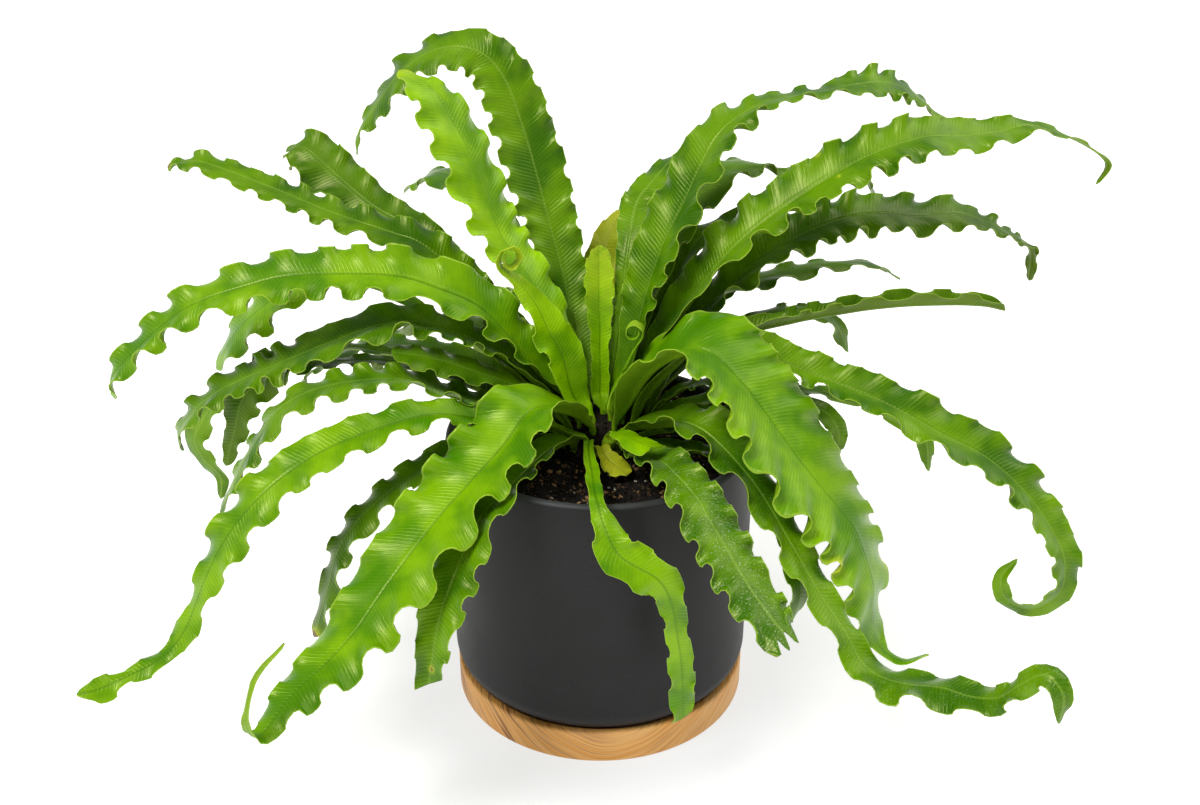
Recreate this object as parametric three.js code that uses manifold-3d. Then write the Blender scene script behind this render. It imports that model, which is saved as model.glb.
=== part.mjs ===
// A ruffled strap-leaved fern in a straight-sided pot that stands on a round wooden saucer.
// Millimetres, +Z up. The saucer stands on z = 0 and the pot's axis is the Z axis.
import * as THREE from 'three';
import * as BufferGeometryUtils from 'three/addons/utils/BufferGeometryUtils.js';
import Module from 'manifold-3d';

const wasm = await Module();
wasm.setup();

// ---------------------------------------------------------------------------------------------
// Driving sizes
// ---------------------------------------------------------------------------------------------
const GAP = 0.3; // clearance between touching pieces
const ROUND_STEPS = 48; // facets round the saucer, pot and soil

const SAUCER_RADIUS = 81.6;
const SAUCER_HEIGHT = 19;
const SAUCER_EDGE = 1.5; // rounding of its edges
const RECESS_DEPTH = 3; // shallow seat for the pot
const RECESS_RADIUS = 77.2;

const POT_RADIUS = 82.5;
const POT_RIM_Z = 158;
const POT_WALL = 5;
const POT_FLOOR = 6;
const POT_FOOT_Z = SAUCER_HEIGHT - RECESS_DEPTH + GAP;
const POT_FOOT_ROUND = 15; // rounding of the outer bottom corner
const POT_INSIDE_ROUND = 10;
const DRAIN_RADIUS = 6;

const SOIL_TOP_Z = 150;
const SOIL_MOUND = 2; // rise of the soil towards the crown
const SOIL_LUMP = 0.8; // height of the uneven crumbs on the surface

const CROWN_RADIUS = 30; // the short rootstock that the stems stand in
const CROWN_TOP_RADIUS = 9;
const CROWN_FOOT_Z = 138;
const CROWN_SHOULDER_Z = 152;
const CROWN_TOP_Z = 165;
const CROWN_STEPS = 32;

const TIER_RADII = [6, 12, 18, 24]; // rings of stems, youngest in the middle
const STEM_WIDTH = 4;
const STEM_THICKNESS = 3;
const STEM_DEPTH = 9; // how far a stem stands in its hole
const STEM_PROUD = 1.5; // straight stem above the crown before it bends
const SEAT_PULL = 0.25; // 0 spaces the stems evenly, 1 puts each at its frond's azimuth

const EDGE_THICKNESS = 1.1; // leaf margin
const TIP_RIB_THICKNESS = 1.3;
const LEAST_WIDTH = 1.8;
const FOLD_AT_BASE = 32; // degrees that each half rises from the rib
const FOLD_AT_TIP = -8; // past the middle each half hangs a little
const NOTCH = 0.2; // how far the crests of the waves draw in
const MARGIN_SHIFT = 0.5; // the two margins wave in turn
const STATIONS_PER_WAVE = 2; // cross-sections for each wave of the margin
const STEM_BEND = 6; // length over which a stem bends out of its hole

const DEGREES = Math.PI / 180;

// ---------------------------------------------------------------------------------------------
// Colours and finishes
// ---------------------------------------------------------------------------------------------
const finish = (name, colour, roughness) =>
  Object.assign(new THREE.MeshStandardMaterial({ color: colour, roughness, metalness: 0 }), { name });

const CERAMIC = finish('pot_ceramic', 0x2e2e30, 0.5);
const WOOD = finish('saucer_wood', 0xc48a4d, 0.55);
const SOIL = finish('soil', 0x1d130d, 0.95);
const ROOTSTOCK = finish('rootstock', 0x3a2a1c, 0.9);
const MATURE = finish('frond_mature', 0x4f8a14, 0.4);
const FRESH = finish('frond_fresh', 0x6fa914, 0.38);
const YOUNG = finish('frond_young', 0x9dcb1c, 0.38);
const SHADED = finish('frond_shaded', 0x2f5c12, 0.45);
const YELLOW = finish('frond_yellowing', 0xb4b83a, 0.5);

// ---------------------------------------------------------------------------------------------
// Fronds. A frond leans out at its azimuth (degrees from +X towards +Y). Each rib point is
// [reach from the pot's axis, height above the floor, width there, side offset, roll in degrees].
// A frond's own roll serves where its rib points give none.
// ---------------------------------------------------------------------------------------------
const TIERS = [
  [
    {
      name: 'small_crozier', azimuth: -5, colour: YOUNG, waves: 4, ruffle: 0.05, coil: [1.1, 4.6, 2.6],
      stations: 5,
      rib: [[8, 178, 4, 2], [12, 190, 5, 1], [18, 205, 7], [22, 214, 8]],
    },
    {
      name: 'upright_young_frond', azimuth: 90, colour: YOUNG, waves: 5, ruffle: 0.1, fold: 18,
      rib: [[11, 174, 5], [15, 190, 9], [20, 206, 13], [26, 226, 17], [29, 240, 16], [31, 250, 8]],
    },
    {
      name: 'lime_back_frond', azimuth: 150, colour: YOUNG, waves: 11, ruffle: 0.3,
      rib: [[13, 176, 5], [18, 190, 9], [24, 206, 14], [32, 222, 22], [42, 235, 29], [52, 246, 34],
        [61, 258, 37], [68, 273, 40], [74, 289, 42], [81, 303, 43], [89, 315, 41], [97, 326, 34],
        [108, 332, 22], [120, 335, 8]],
    },
    {
      name: 'large_crozier', azimuth: 200, colour: YOUNG, waves: 5, ruffle: 0.2, coil: [1.25, 6, 3],
      stations: 5,
      rib: [[12, 174, 7, 0, -50], [17, 184, 16, 0, -60], [21, 202, 24, 0, -60], [28, 219, 24, 0, -60],
        [35, 235, 17, 0, -50], [43, 247, 11, 0, -40], [52, 257, 7, 0, -30]],
    },
  ],
  [
    {
      name: 'broad_front_right_frond', azimuth: -33, colour: FRESH, waves: 14, ruffle: 0.32, stations: 4,
      rib: [[18, 178, 14, 0, 8], [26, 193, 30, 0, 8], [35, 204, 42, 0, 8], [49, 214, 53, 0, 6],
        [62, 218, 57, 0, 6], [83, 205, 60, 0, 6], [96, 191, 63, 2, 6], [114, 171, 65, 4, 4],
        [135, 149, 62, 7], [146, 137, 55, 7], [157, 114, 47, 6], [159, 97, 38, 5], [162, 86, 24, 4],
        [167, 80, 10, 2], [179, 79, 6], [191, 88, 2]],
    },
    {
      name: 'long_right_frond', azimuth: 14, colour: MATURE, waves: 13, ruffle: 0.36, fold: 4,
      rib: [[18, 180, 6], [33, 205, 16], [49, 227, 28], [74, 256, 35, 0, 8], [105, 278, 36, 0, 16],
        [137, 296, 34, 0, 25], [170, 305, 30, 0, 30], [193, 304, 26, 0, 30], [215, 305, 20, 0, 30],
        [232, 307, 14, 0, 20], [260, 298, 9], [282, 284, 7], [278, 272, 2]],
    },
    {
      name: 'tall_right_frond', azimuth: 35, colour: MATURE, waves: 13, ruffle: 0.34, fold: -2,
      rib: [[19, 190, 7], [28, 224, 23], [40, 253, 34], [51, 270, 37], [63, 290, 37], [74, 305, 34],
        [89, 314, 28], [112, 319, 21], [150, 319, 19], [175, 319, 24, 0, 20], [196, 317, 27, 0, 28],
        [215, 310, 25, 0, 28], [232, 299, 17, 0, 20], [249, 287, 7]],
    },
    {
      name: 'slim_back_frond', azimuth: 70, colour: MATURE, waves: 8, ruffle: 0.3,
      rib: [[19, 190, 5, -2], [24, 212, 7, -3], [33, 237, 11, -2], [45, 252, 15, -1], [64, 265, 20, 1],
        [77, 272, 21, -2], [98, 278, 15, -5], [115, 279, 3, -9]],
    },
    {
      name: 'tall_back_frond', azimuth: 145, colour: MATURE, waves: 13, ruffle: 0.26,
      rib: [[14, 178, 5, -6, -30], [23, 197, 11, -12, -30], [37, 221, 23, -21, -30],
        [59, 266, 35, -30, -30], [75, 303, 36, -34, -30], [85, 326, 33, -34, -35],
        [96, 339, 30, -31, -40], [108, 343, 29, -25, -38], [122, 340, 31, -17, -40],
        [136, 328, 31, -7, -50], [149, 309, 24, 1, -50], [157, 296, 10, 6, -50], [158, 284, 2, 8, -50]],
    },
    {
      name: 'high_left_frond', azimuth: 162, colour: MATURE, waves: 14, ruffle: 0.42, roll: -14, fold: 0,
      rib: [[19, 174, 6], [31, 185, 11], [46, 199, 18], [75, 232, 26], [98, 250, 27], [116, 255, 26],
        [150, 263, 23], [180, 272, 21], [213, 281, 19], [231, 284, 17], [248, 280, 8]],
    },
    {
      name: 'long_left_frond', azimuth: 184, colour: FRESH, waves: 13, ruffle: 0.42, roll: -28, fold: 2,
      rib: [[19, 179, 7, 0, 0], [29, 189, 13, 0, -10], [42, 206, 24, 0, -20], [61, 228, 32], [81, 239, 34],
        [105, 247, 34], [150, 249, 32], [177, 244, 30], [206, 234, 26], [231, 215, 21], [249, 197, 15],
        [250, 184, 5]],
    },
    {
      name: 'broad_front_left_frond', azimuth: 231, colour: FRESH, waves: 12, ruffle: 0.38, stations: 3,
      rib: [[18, 172, 9], [27, 179, 16], [42, 187, 28], [54, 190, 37], [63, 186, 42], [76, 178, 46],
        [98, 167, 48, -1], [124, 154, 48, -2], [152, 137, 45, -3], [172, 122, 40, -4], [189, 115, 34, -4],
        [213, 109, 23, -3], [231, 102, 11, -1], [238, 113, 5], [231, 132, 3], [214, 141, 2]],
    },
  ],
  [
    {
      name: 'trailing_right_frond', azimuth: -45, colour: MATURE, waves: 13, ruffle: 0.4,
      rib: [[26, 168, 8], [34, 172, 13], [48, 178, 18], [61, 183, 24], [78, 180, 27, 1], [103, 164, 25, 3],
        [127, 141, 22, 3], [148, 120, 20, 2], [165, 106, 18, 1], [174, 97, 19], [185, 95, 25], [200, 99, 27],
        [216, 106, 24, 0, 10], [230, 109, 19, 0, 20], [243, 116, 15, 0, 30], [251, 127, 13, 0, 40],
        [261, 138, 12, 0, 40], [270, 133, 10, 0, 30], [271, 119, 3, 0, 20]],
    },
    {
      name: 'hooked_right_frond', azimuth: -16, colour: MATURE, waves: 13, ruffle: 0.36, roll: 22, fold: 12,
      rib: [[25, 180, 8, 1, 0], [38, 198, 13, 3, 10], [52, 210, 18, 6], [75, 210, 21, 9], [98, 203, 23, 10],
        [123, 197, 25, 7], [151, 190, 29, 2], [175, 180, 31], [198, 170, 30], [220, 152, 27],
        [238, 128, 22, 0, 35], [244, 110, 18, 0, 48], [242, 96, 15, 0, 60], [231, 86, 12, 0, 65],
        [218, 90, 11, 0, 65], [214, 103, 8, 0, 65], [220, 115, 2, 0, 65]],
    },
    {
      name: 'dark_right_frond', azimuth: 20, colour: SHADED, waves: 13, ruffle: 0.45, fold: 0,
      rib: [[26, 183, 7], [45, 208, 16], [76, 231, 26, 0, 8], [93, 245, 29, 0, 16], [113, 253, 31, 0, 24],
        [136, 259, 31, 0, 28], [160, 260, 30, 0, 28], [186, 256, 28, 0, 28], [212, 254, 23, 0, 28],
        [242, 241, 15, 0, 20], [262, 228, 13], [265, 208, 6]],
    },
    {
      name: 'far_right_frond', azimuth: 50, colour: SHADED, waves: 8, ruffle: 0.35,
      rib: [[27, 196, 8], [42, 225, 15], [60, 248, 20], [78, 265, 27], [97, 276, 32], [120, 278, 35],
        [152, 268, 32], [180, 257, 8]],
    },
    {
      name: 'yellow_green_back_frond', azimuth: 92, colour: YELLOW, waves: 6, ruffle: 0.25,
      rib: [[25, 176, 6], [40, 194, 14], [60, 214, 20], [75, 232, 20, -5], [88, 244, 13, -13],
        [92, 248, 4, -20]],
    },
    {
      name: 'small_back_left_frond', azimuth: 123, colour: MATURE, waves: 7, ruffle: 0.4, roll: -20,
      rib: [[25, 178, 6, 2, 0], [35, 187, 7, 4, 0], [49, 202, 8, 4, -10], [70, 224, 10, 2], [98, 247, 14],
        [125, 257, 18], [150, 258, 22], [180, 255, 25], [207, 243, 20], [232, 229, 5]],
    },
    {
      name: 'upper_left_frond', azimuth: 148, colour: SHADED, waves: 11, ruffle: 0.35, roll: -30,
      rib: [[30, 178, 8, 0, 0], [51, 200, 16, 0, -10], [83, 221, 20, 0, -20], [103, 238, 21], [120, 248, 23],
        [147, 256, 27], [174, 269, 32], [198, 282, 30], [213, 277, 8]],
    },
    {
      name: 'middle_left_frond', azimuth: 186, colour: MATURE, waves: 12, ruffle: 0.38, roll: -12, fold: 0,
      rib: [[27, 179, 6, 0, 0], [37, 191, 11, 0, -6], [57, 208, 17], [87, 221, 25], [106, 224, 29],
        [137, 214, 31], [168, 202, 30], [199, 188, 26], [218, 169, 19], [218, 157, 7]],
    },
    {
      name: 'rolled_left_frond', azimuth: 193, colour: SHADED, waves: 7, ruffle: 0.2,
      rib: [[29, 178, 6, 3], [39, 185, 11, 1, -10], [63, 197, 20, 0, -15], [88, 209, 21, 2, -15],
        [107, 214, 16, 2, -15]],
    },
    {
      name: 'long_lower_left_frond', azimuth: 210, colour: FRESH, waves: 12, ruffle: 0.3, roll: -18,
      rib: [[26, 164, 5, 4, 0], [47, 176, 11, 1, -8], [70, 181, 14], [94, 190, 18], [122, 190, 22],
        [152, 185, 26], [176, 175, 27], [197, 158, 26], [212, 137, 21], [220, 121, 11], [227, 108, 16, 0, -30],
        [236, 99, 9, 0, -10], [246, 95, 14], [256, 93, 7], [266, 91, 14, 0, -40], [273, 91, 9, 0, -50],
        [279, 92, 3]],
    },
  ],
  [
    {
      name: 'narrow_front_frond', azimuth: -80, colour: FRESH, waves: 7, ruffle: 0.3,
      rib: [[30, 166, 5, -11], [40, 167, 5, -13], [58, 167, 7, -15], [78, 167, 8, -17], [92, 165, 8, -17],
        [102, 158, 15, -15], [109, 149, 21, -10], [113, 143, 22, -1], [116, 137, 20, 8], [116, 123, 14, 14],
        [115, 101, 12, 18], [113, 78, 14, 21], [109, 44, 12, 23]],
    },
    {
      name: 'short_yellow_leaf', azimuth: -72, colour: YELLOW, waves: 3, ruffle: 0.15,
      rib: [[29, 161, 5, -8], [36, 159, 12, -7], [44, 157, 14, -4], [51, 157, 3, -2]],
    },
    {
      name: 'short_lime_leaf', azimuth: -68, colour: YOUNG, waves: 3, ruffle: 0.15,
      rib: [[29, 169, 5, -3], [38, 175, 9, -6], [48, 178, 14, -6], [58, 179, 16, -3], [67, 179, 15, 1]],
    },
    {
      name: 'speckled_front_frond', azimuth: -64, colour: MATURE, waves: 10, ruffle: 0.4, stations: 3,
      rib: [[31, 162, 6], [40, 162, 10], [52, 165, 18], [71, 171, 25], [99, 168, 28, 1], [116, 160, 29, 2],
        [131, 153, 29, 3], [147, 145, 28, 4], [163, 138, 26, 5], [171, 135, 24, 6], [178, 131, 21, 7]],
    },
    {
      name: 'hidden_front_right_frond', azimuth: -41, colour: SHADED, waves: 7, ruffle: 0.3,
      rib: [[30, 158, 5, -2], [50, 162, 9, 2], [75, 166, 11, 6], [95, 160, 12, 9], [112, 143, 14, 9],
        [125, 122, 17, 5], [130, 107, 16, 2], [127, 92, 4]],
    },
    {
      name: 'short_dark_right_frond', azimuth: -31, colour: SHADED, waves: 5, ruffle: 0.25,
      rib: [[31, 164, 5], [45, 169, 11], [60, 174, 14], [75, 177, 12], [85, 174, 4]],
    },
    {
      name: 'drooping_right_frond', azimuth: -15, colour: SHADED, waves: 7, ruffle: 0.3,
      rib: [[31, 164, 4, -2], [55, 174, 8], [87, 181, 11, 4], [107, 184, 11, 7, 20], [120, 177, 11, 8, 45],
        [125, 165, 11, 9, 60], [123, 153, 4, 9, 60]],
    },
    {
      name: 'inner_right_frond', azimuth: -12, colour: SHADED, waves: 5, ruffle: 0.25,
      rib: [[30, 172, 5, 1], [40, 183, 11], [56, 192, 14], [74, 193, 12], [85, 188, 4]],
    },
    {
      name: 'thin_right_frond', azimuth: -3, colour: MATURE, waves: 6, ruffle: 0.3,
      rib: [[31, 165, 5, 2], [52, 174, 9], [75, 180, 12], [98, 183, 14], [131, 180, 14],
        [160, 167, 12, 0, 20], [173, 156, 12, 0, 60], [177, 137, 3, 0, 60]],
    },
    {
      name: 'folded_right_frond', azimuth: 5, colour: SHADED, waves: 10, ruffle: 0.35, fold: 60,
      rib: [[31, 180, 6], [44, 200, 12], [73, 210, 15], [114, 218, 16], [145, 222, 16], [171, 223, 16],
        [200, 222, 13], [214, 219, 6]],
    },
    {
      name: 'drooping_far_right_frond', azimuth: 19, colour: SHADED, waves: 7, ruffle: 0.3,
      rib: [[31, 174, 6], [60, 196, 12], [90, 210, 16], [114, 212, 16], [134, 203, 13, 0, 20],
        [141, 194, 12, 0, 60], [147, 181, 3, 0, 60]],
    },
    {
      name: 'ragged_right_frond', azimuth: 29, colour: SHADED, waves: 9, ruffle: 0.35,
      rib: [[31, 184, 6], [60, 216, 15], [85, 223, 21], [111, 225, 22], [139, 226, 18], [170, 222, 13],
        [184, 217, 10], [201, 206, 3]],
    },
    {
      name: 'drooping_behind_right_frond', azimuth: 42, colour: SHADED, waves: 11, ruffle: 0.35,
      rib: [[31, 186, 6], [43, 212, 14], [61, 238, 20], [76, 250, 18], [103, 253, 18], [145, 260, 18],
        [190, 263, 21, 0, 20], [213, 256, 23, 0, 30], [228, 239, 13, 0, 30]],
    },
    {
      name: 'low_back_frond_1', azimuth: 68, colour: MATURE, waves: 8, ruffle: 0.3,
      rib: [[31, 174, 6], [60, 196, 18], [98, 204, 24], [138, 194, 22], [168, 168, 12], [176, 148, 3]],
    },
    {
      name: 'low_back_frond_2', azimuth: 88, colour: MATURE, waves: 10, ruffle: 0.32,
      rib: [[31, 170, 6], [60, 190, 18], [105, 199, 26], [155, 182, 26], [192, 142, 20], [210, 96, 8],
        [212, 84, 3]],
    },
    {
      name: 'low_back_frond_3', azimuth: 112, colour: MATURE, waves: 10, ruffle: 0.32,
      rib: [[31, 172, 6], [60, 190, 18], [105, 196, 26], [155, 180, 28], [195, 148, 22], [222, 108, 12],
        [230, 86, 3]],
    },
    {
      name: 'low_back_frond_4', azimuth: 138, colour: SHADED, waves: 9, ruffle: 0.32,
      rib: [[31, 170, 6], [60, 184, 16], [100, 190, 24], [145, 180, 24], [180, 150, 18], [196, 118, 4]],
    },
    {
      name: 'low_back_frond_5', azimuth: 160, colour: SHADED, waves: 9, ruffle: 0.32,
      rib: [[31, 168, 6], [60, 182, 14], [100, 190, 20], [145, 184, 20], [180, 160, 14], [192, 140, 4]],
    },
    {
      name: 'hanging_left_frond_1', azimuth: 172, colour: MATURE, waves: 8, ruffle: 0.3,
      rib: [[31, 162, 5, -4], [70, 182, 9, -1], [120, 196, 11], [160, 195, 13], [192, 182, 14, 0, -20],
        [212, 165, 14, 0, -50], [226, 145, 15, 0, -70], [231, 133, 16, 0, -75], [227, 121, 15, 0, -75],
        [219, 111, 11, 0, -75], [221, 96, 3, 0, -75]],
    },
    {
      name: 'middle_left_under_frond', azimuth: 174, colour: FRESH, waves: 9, ruffle: 0.35,
      rib: [[31, 176, 5], [63, 203, 8], [103, 228, 11], [134, 237, 14], [151, 236, 21, 0, -10],
        [164, 230, 29, 0, -25], [177, 222, 33, 0, -30], [191, 210, 30, 0, -30], [201, 197, 24, 0, -30],
        [209, 183, 8, 0, -30]],
    },
    {
      name: 'hanging_left_frond_2', azimuth: 182, colour: SHADED, waves: 8, ruffle: 0.3,
      rib: [[31, 164, 5], [60, 181, 9], [104, 198, 13], [140, 199, 16], [160, 200, 20, 0, -30],
        [173, 194, 25, 0, -60], [187, 178, 21, 0, -70], [193, 161, 16, 0, -70], [201, 139, 5, 0, -70]],
    },
    {
      name: 'olive_left_frond', azimuth: 198, colour: MATURE, waves: 12, ruffle: 0.34,
      rib: [[31, 170, 5], [45, 176, 10], [64, 182, 17], [84, 192, 23], [104, 202, 27], [139, 204, 29],
        [163, 196, 28], [177, 180, 25], [190, 160, 19], [199, 143, 4]],
    },
    {
      name: 'dark_lower_left_frond', azimuth: 213, colour: SHADED, waves: 9, ruffle: 0.34,
      rib: [[31, 162, 5], [49, 167, 11, -1], [69, 170, 15, -2], [84, 169, 18, -3], [103, 163, 20, -4],
        [122, 155, 22, -4], [139, 145, 22, -3], [151, 133, 20, -2], [158, 118, 18], [163, 105, 16],
        [169, 90, 9]],
    },
    {
      name: 'cut_front_left_frond', azimuth: 239, colour: MATURE, waves: 9, ruffle: 0.3, fold: 6,
      rib: [[31, 164, 6, 0, 10], [41, 167, 12, 0, 12], [59, 167, 18, 0, 14], [82, 164, 24, 0, 14],
        [104, 160, 27, 0, 12], [116, 152, 29, 0, 8], [129, 140, 28, 0], [139, 129, 26, 0],
        [149, 112, 21, 0], [157, 89, 14, 0]],
    },
  ],
];

// ---------------------------------------------------------------------------------------------
// Shared helpers
// ---------------------------------------------------------------------------------------------

// A repeatable draw between 0 and 1 for a whole number and a seed.
const draw = (number, seed) => {
  const value = Math.sin(number * 12.9898 + seed * 78.233) * 43758.5453;
  return value - Math.floor(value);
};

const smoothstep = (low, high, value) => {
  const t = Math.min(Math.max((value - low) / (high - low), 0), 1);
  return t * t * (3 - 2 * t);
};

const solidOf = (geometry) => {
  const plain = geometry.clone();
  plain.deleteAttribute('normal');
  plain.deleteAttribute('uv');
  const merged = BufferGeometryUtils.mergeVertices(plain, 1e-3);
  return new wasm.Manifold(
    new wasm.Mesh({
      numProp: 3,
      vertProperties: new Float32Array(merged.attributes.position.array),
      triVerts: new Uint32Array(merged.index.array),
    }),
  );
};

const geometryOf = (solid) => {
  const mesh = solid.getMesh();
  const geometry = new THREE.BufferGeometry();
  geometry.setAttribute('position', new THREE.BufferAttribute(new Float32Array(mesh.vertProperties), 3));
  geometry.setIndex(new THREE.BufferAttribute(new Uint32Array(mesh.triVerts), 1));
  geometry.computeVertexNormals();
  return geometry;
};

// A body of revolution about Z from [radius, height] points.
const turned = (profile, steps) => {
  const points = profile.map(([radius, height]) => new THREE.Vector2(radius, height));
  return new THREE.LatheGeometry(points, steps).rotateX(Math.PI / 2);
};

// Points on an arc from one angle to another, both ends included, for a turned profile.
const arc = (centre, middle, radius, from, to, steps) =>
  Array.from({ length: steps + 1 }, (_, i) => {
    const angle = (from + ((to - from) * i) / steps) * DEGREES;
    return [centre + radius * Math.cos(angle), middle + radius * Math.sin(angle)];
  });

const part = (name, geometry, material) => {
  const mesh = new THREE.Mesh(geometry, material);
  mesh.name = name;
  return mesh;
};

// ---------------------------------------------------------------------------------------------
// Saucer, pot, soil and rootstock
// ---------------------------------------------------------------------------------------------
const makeSaucer = () => {
  const side = SAUCER_RADIUS - SAUCER_EDGE;
  const profile = [
    [0, 0],
    ...arc(side, SAUCER_EDGE, SAUCER_EDGE, -90, 0, 3),
    ...arc(side, SAUCER_HEIGHT - SAUCER_EDGE, SAUCER_EDGE, 0, 90, 3),
    [RECESS_RADIUS, SAUCER_HEIGHT],
    [RECESS_RADIUS, SAUCER_HEIGHT - RECESS_DEPTH],
    [0, SAUCER_HEIGHT - RECESS_DEPTH],
  ];
  return part('wooden_saucer', turned(profile, ROUND_STEPS), WOOD);
};

const makePot = () => {
  const inside = POT_RADIUS - POT_WALL;
  const floor = POT_FOOT_Z + POT_FLOOR;
  const lip = POT_WALL / 2;
  const profile = [
    [DRAIN_RADIUS, POT_FOOT_Z],
    ...arc(POT_RADIUS - POT_FOOT_ROUND, POT_FOOT_Z + POT_FOOT_ROUND, POT_FOOT_ROUND, -90, 0, 5),
    ...arc(POT_RADIUS - lip, POT_RIM_Z - lip, lip, 0, 180, 6),
    ...arc(inside - POT_INSIDE_ROUND, floor + POT_INSIDE_ROUND, POT_INSIDE_ROUND, 0, -90, 3),
    [DRAIN_RADIUS, floor],
    [DRAIN_RADIUS, POT_FOOT_Z],
  ];
  return part('pot', turned(profile, ROUND_STEPS), CERAMIC);
};

// The soil fills the pot to just under the rim and leaves a plain hole for the rootstock.
const makeSoil = () => {
  const wall = POT_RADIUS - POT_WALL - GAP;
  const floor = POT_FOOT_Z + POT_FLOOR + GAP;
  const hole = CROWN_RADIUS + GAP;
  const rings = 4;
  const top = Array.from({ length: rings + 1 }, (_, i) => {
    const share = i / rings;
    return [wall + (hole - wall) * share, SOIL_TOP_Z + SOIL_MOUND * share];
  });
  const profile = [
    [0, floor],
    ...arc(wall - POT_INSIDE_ROUND, floor + POT_INSIDE_ROUND, POT_INSIDE_ROUND, -90, 0, 3),
    ...top,
    [hole, CROWN_FOOT_Z - GAP],
    [0, CROWN_FOOT_Z - GAP],
  ];
  const geometry = turned(profile, ROUND_STEPS);
  const place = geometry.attributes.position;
  for (let i = 0; i < place.count; i += 1) {
    if (place.getZ(i) > SOIL_TOP_Z - 1) {
      const lump = draw(Math.round(place.getX(i)), Math.round(place.getY(i))) - 0.5;
      place.setZ(i, place.getZ(i) + 2 * SOIL_LUMP * lump);
    }
  }
  return part('soil', geometry, SOIL);
};

// Height of the rootstock's sloping top at a distance from the axis.
const crownHeight = (radius) => {
  const slope = (CROWN_TOP_Z - CROWN_SHOULDER_Z) / (CROWN_RADIUS - CROWN_TOP_RADIUS);
  return CROWN_TOP_Z - slope * Math.max(radius - CROWN_TOP_RADIUS, 0);
};

const makeRootstock = (seats) => {
  const profile = [
    [0, CROWN_FOOT_Z],
    [CROWN_RADIUS, CROWN_FOOT_Z],
    [CROWN_RADIUS, CROWN_SHOULDER_Z],
    [CROWN_TOP_RADIUS, CROWN_TOP_Z],
    [0, CROWN_TOP_Z],
  ];
  let solid = solidOf(turned(profile, CROWN_STEPS));
  for (const seat of seats) {
    const foot = seat.top - STEM_PROUD - STEM_DEPTH - GAP;
    const height = CROWN_TOP_Z + 1 - foot;
    const hole = new THREE.BoxGeometry(STEM_THICKNESS + 2 * GAP, STEM_WIDTH + 2 * GAP, height);
    hole.rotateZ(seat.azimuth);
    hole.translate(seat.x, seat.y, foot + height / 2);
    solid = solid.subtract(solidOf(hole));
  }
  return part('rootstock', geometryOf(solid), ROOTSTOCK);
};

// ---------------------------------------------------------------------------------------------
// Frond geometry
// ---------------------------------------------------------------------------------------------

// Rib points of a crozier's coil: it goes on from the last two points and winds inwards.
const coilPoints = (rib, [turns, outer, inner]) => {
  const [before, last] = rib.slice(-2);
  const start = Math.atan2(last[1] - before[1], last[0] - before[0]);
  const count = Math.round(turns * 10);
  const step = (turns * 2 * Math.PI) / count;
  const points = [];
  let [reach, height] = last;
  for (let i = 1; i <= count; i += 1) {
    const radius = outer + ((inner - outer) * i) / count;
    const angle = start + step * i;
    reach += radius * step * Math.cos(angle);
    height += radius * step * Math.sin(angle);
    points.push([reach, height, last[2] * (1 - (0.6 * i) / count), last[3] ?? 0, last[4] ?? 0]);
  }
  return points;
};

// The rib as a smooth curve, with the width and the roll carried along the same points.
const ribOf = (row, seat) => {
  const points = [...row.rib, ...(row.coil ? coilPoints(row.rib, row.coil) : [])];
  const rest = points.map(([reach, height, width, side = 0, roll = row.roll ?? 0]) =>
    [reach, height, width, side, roll]);
  const all = [[seat.reach, seat.top, STEM_WIDTH, seat.side, rest[0][4]], ...rest];
  const path = new THREE.CatmullRomCurve3(
    all.map(([reach, height, , side]) => new THREE.Vector3(reach, side, height)),
    false,
    'catmullrom',
    0.5,
  );
  const shape = new THREE.CatmullRomCurve3(
    all.map(([, , width, , roll]) => new THREE.Vector3(width, roll, 0)),
    false,
    'catmullrom',
    0.5,
  );
  path.arcLengthDivisions = 400;
  return { path, shape };
};

// Uneven wave lengths: a share of the wave count goes in, a share of the rib's length comes out.
const uneven = (share, seed) => {
  const sway = [0.035, 0.02, 0.012].map((size, i) => size * (2 * draw(i + 1, seed) - 1));
  return share + sway.reduce((sum, size, i) => sum + size * Math.sin(2 * Math.PI * (i + 1) * share), 0);
};

// One cross-section: three points on the upper face and three on the lower face.
const section = (centre, across, normal, edges, ribThickness, edgeThickness) => {
  const [left, right] = edges;
  const lift = normal.clone().multiplyScalar(ribThickness / 2);
  const edgePoint = (edge, sign) => {
    const rim = edge.normal.clone().multiplyScalar((sign * edgeThickness) / 2);
    return edge.point.clone().add(rim);
  };
  return [
    edgePoint(left, 1),
    centre.clone().add(lift),
    edgePoint(right, 1),
    edgePoint(right, -1),
    centre.clone().sub(lift),
    edgePoint(left, -1),
  ];
};

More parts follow.
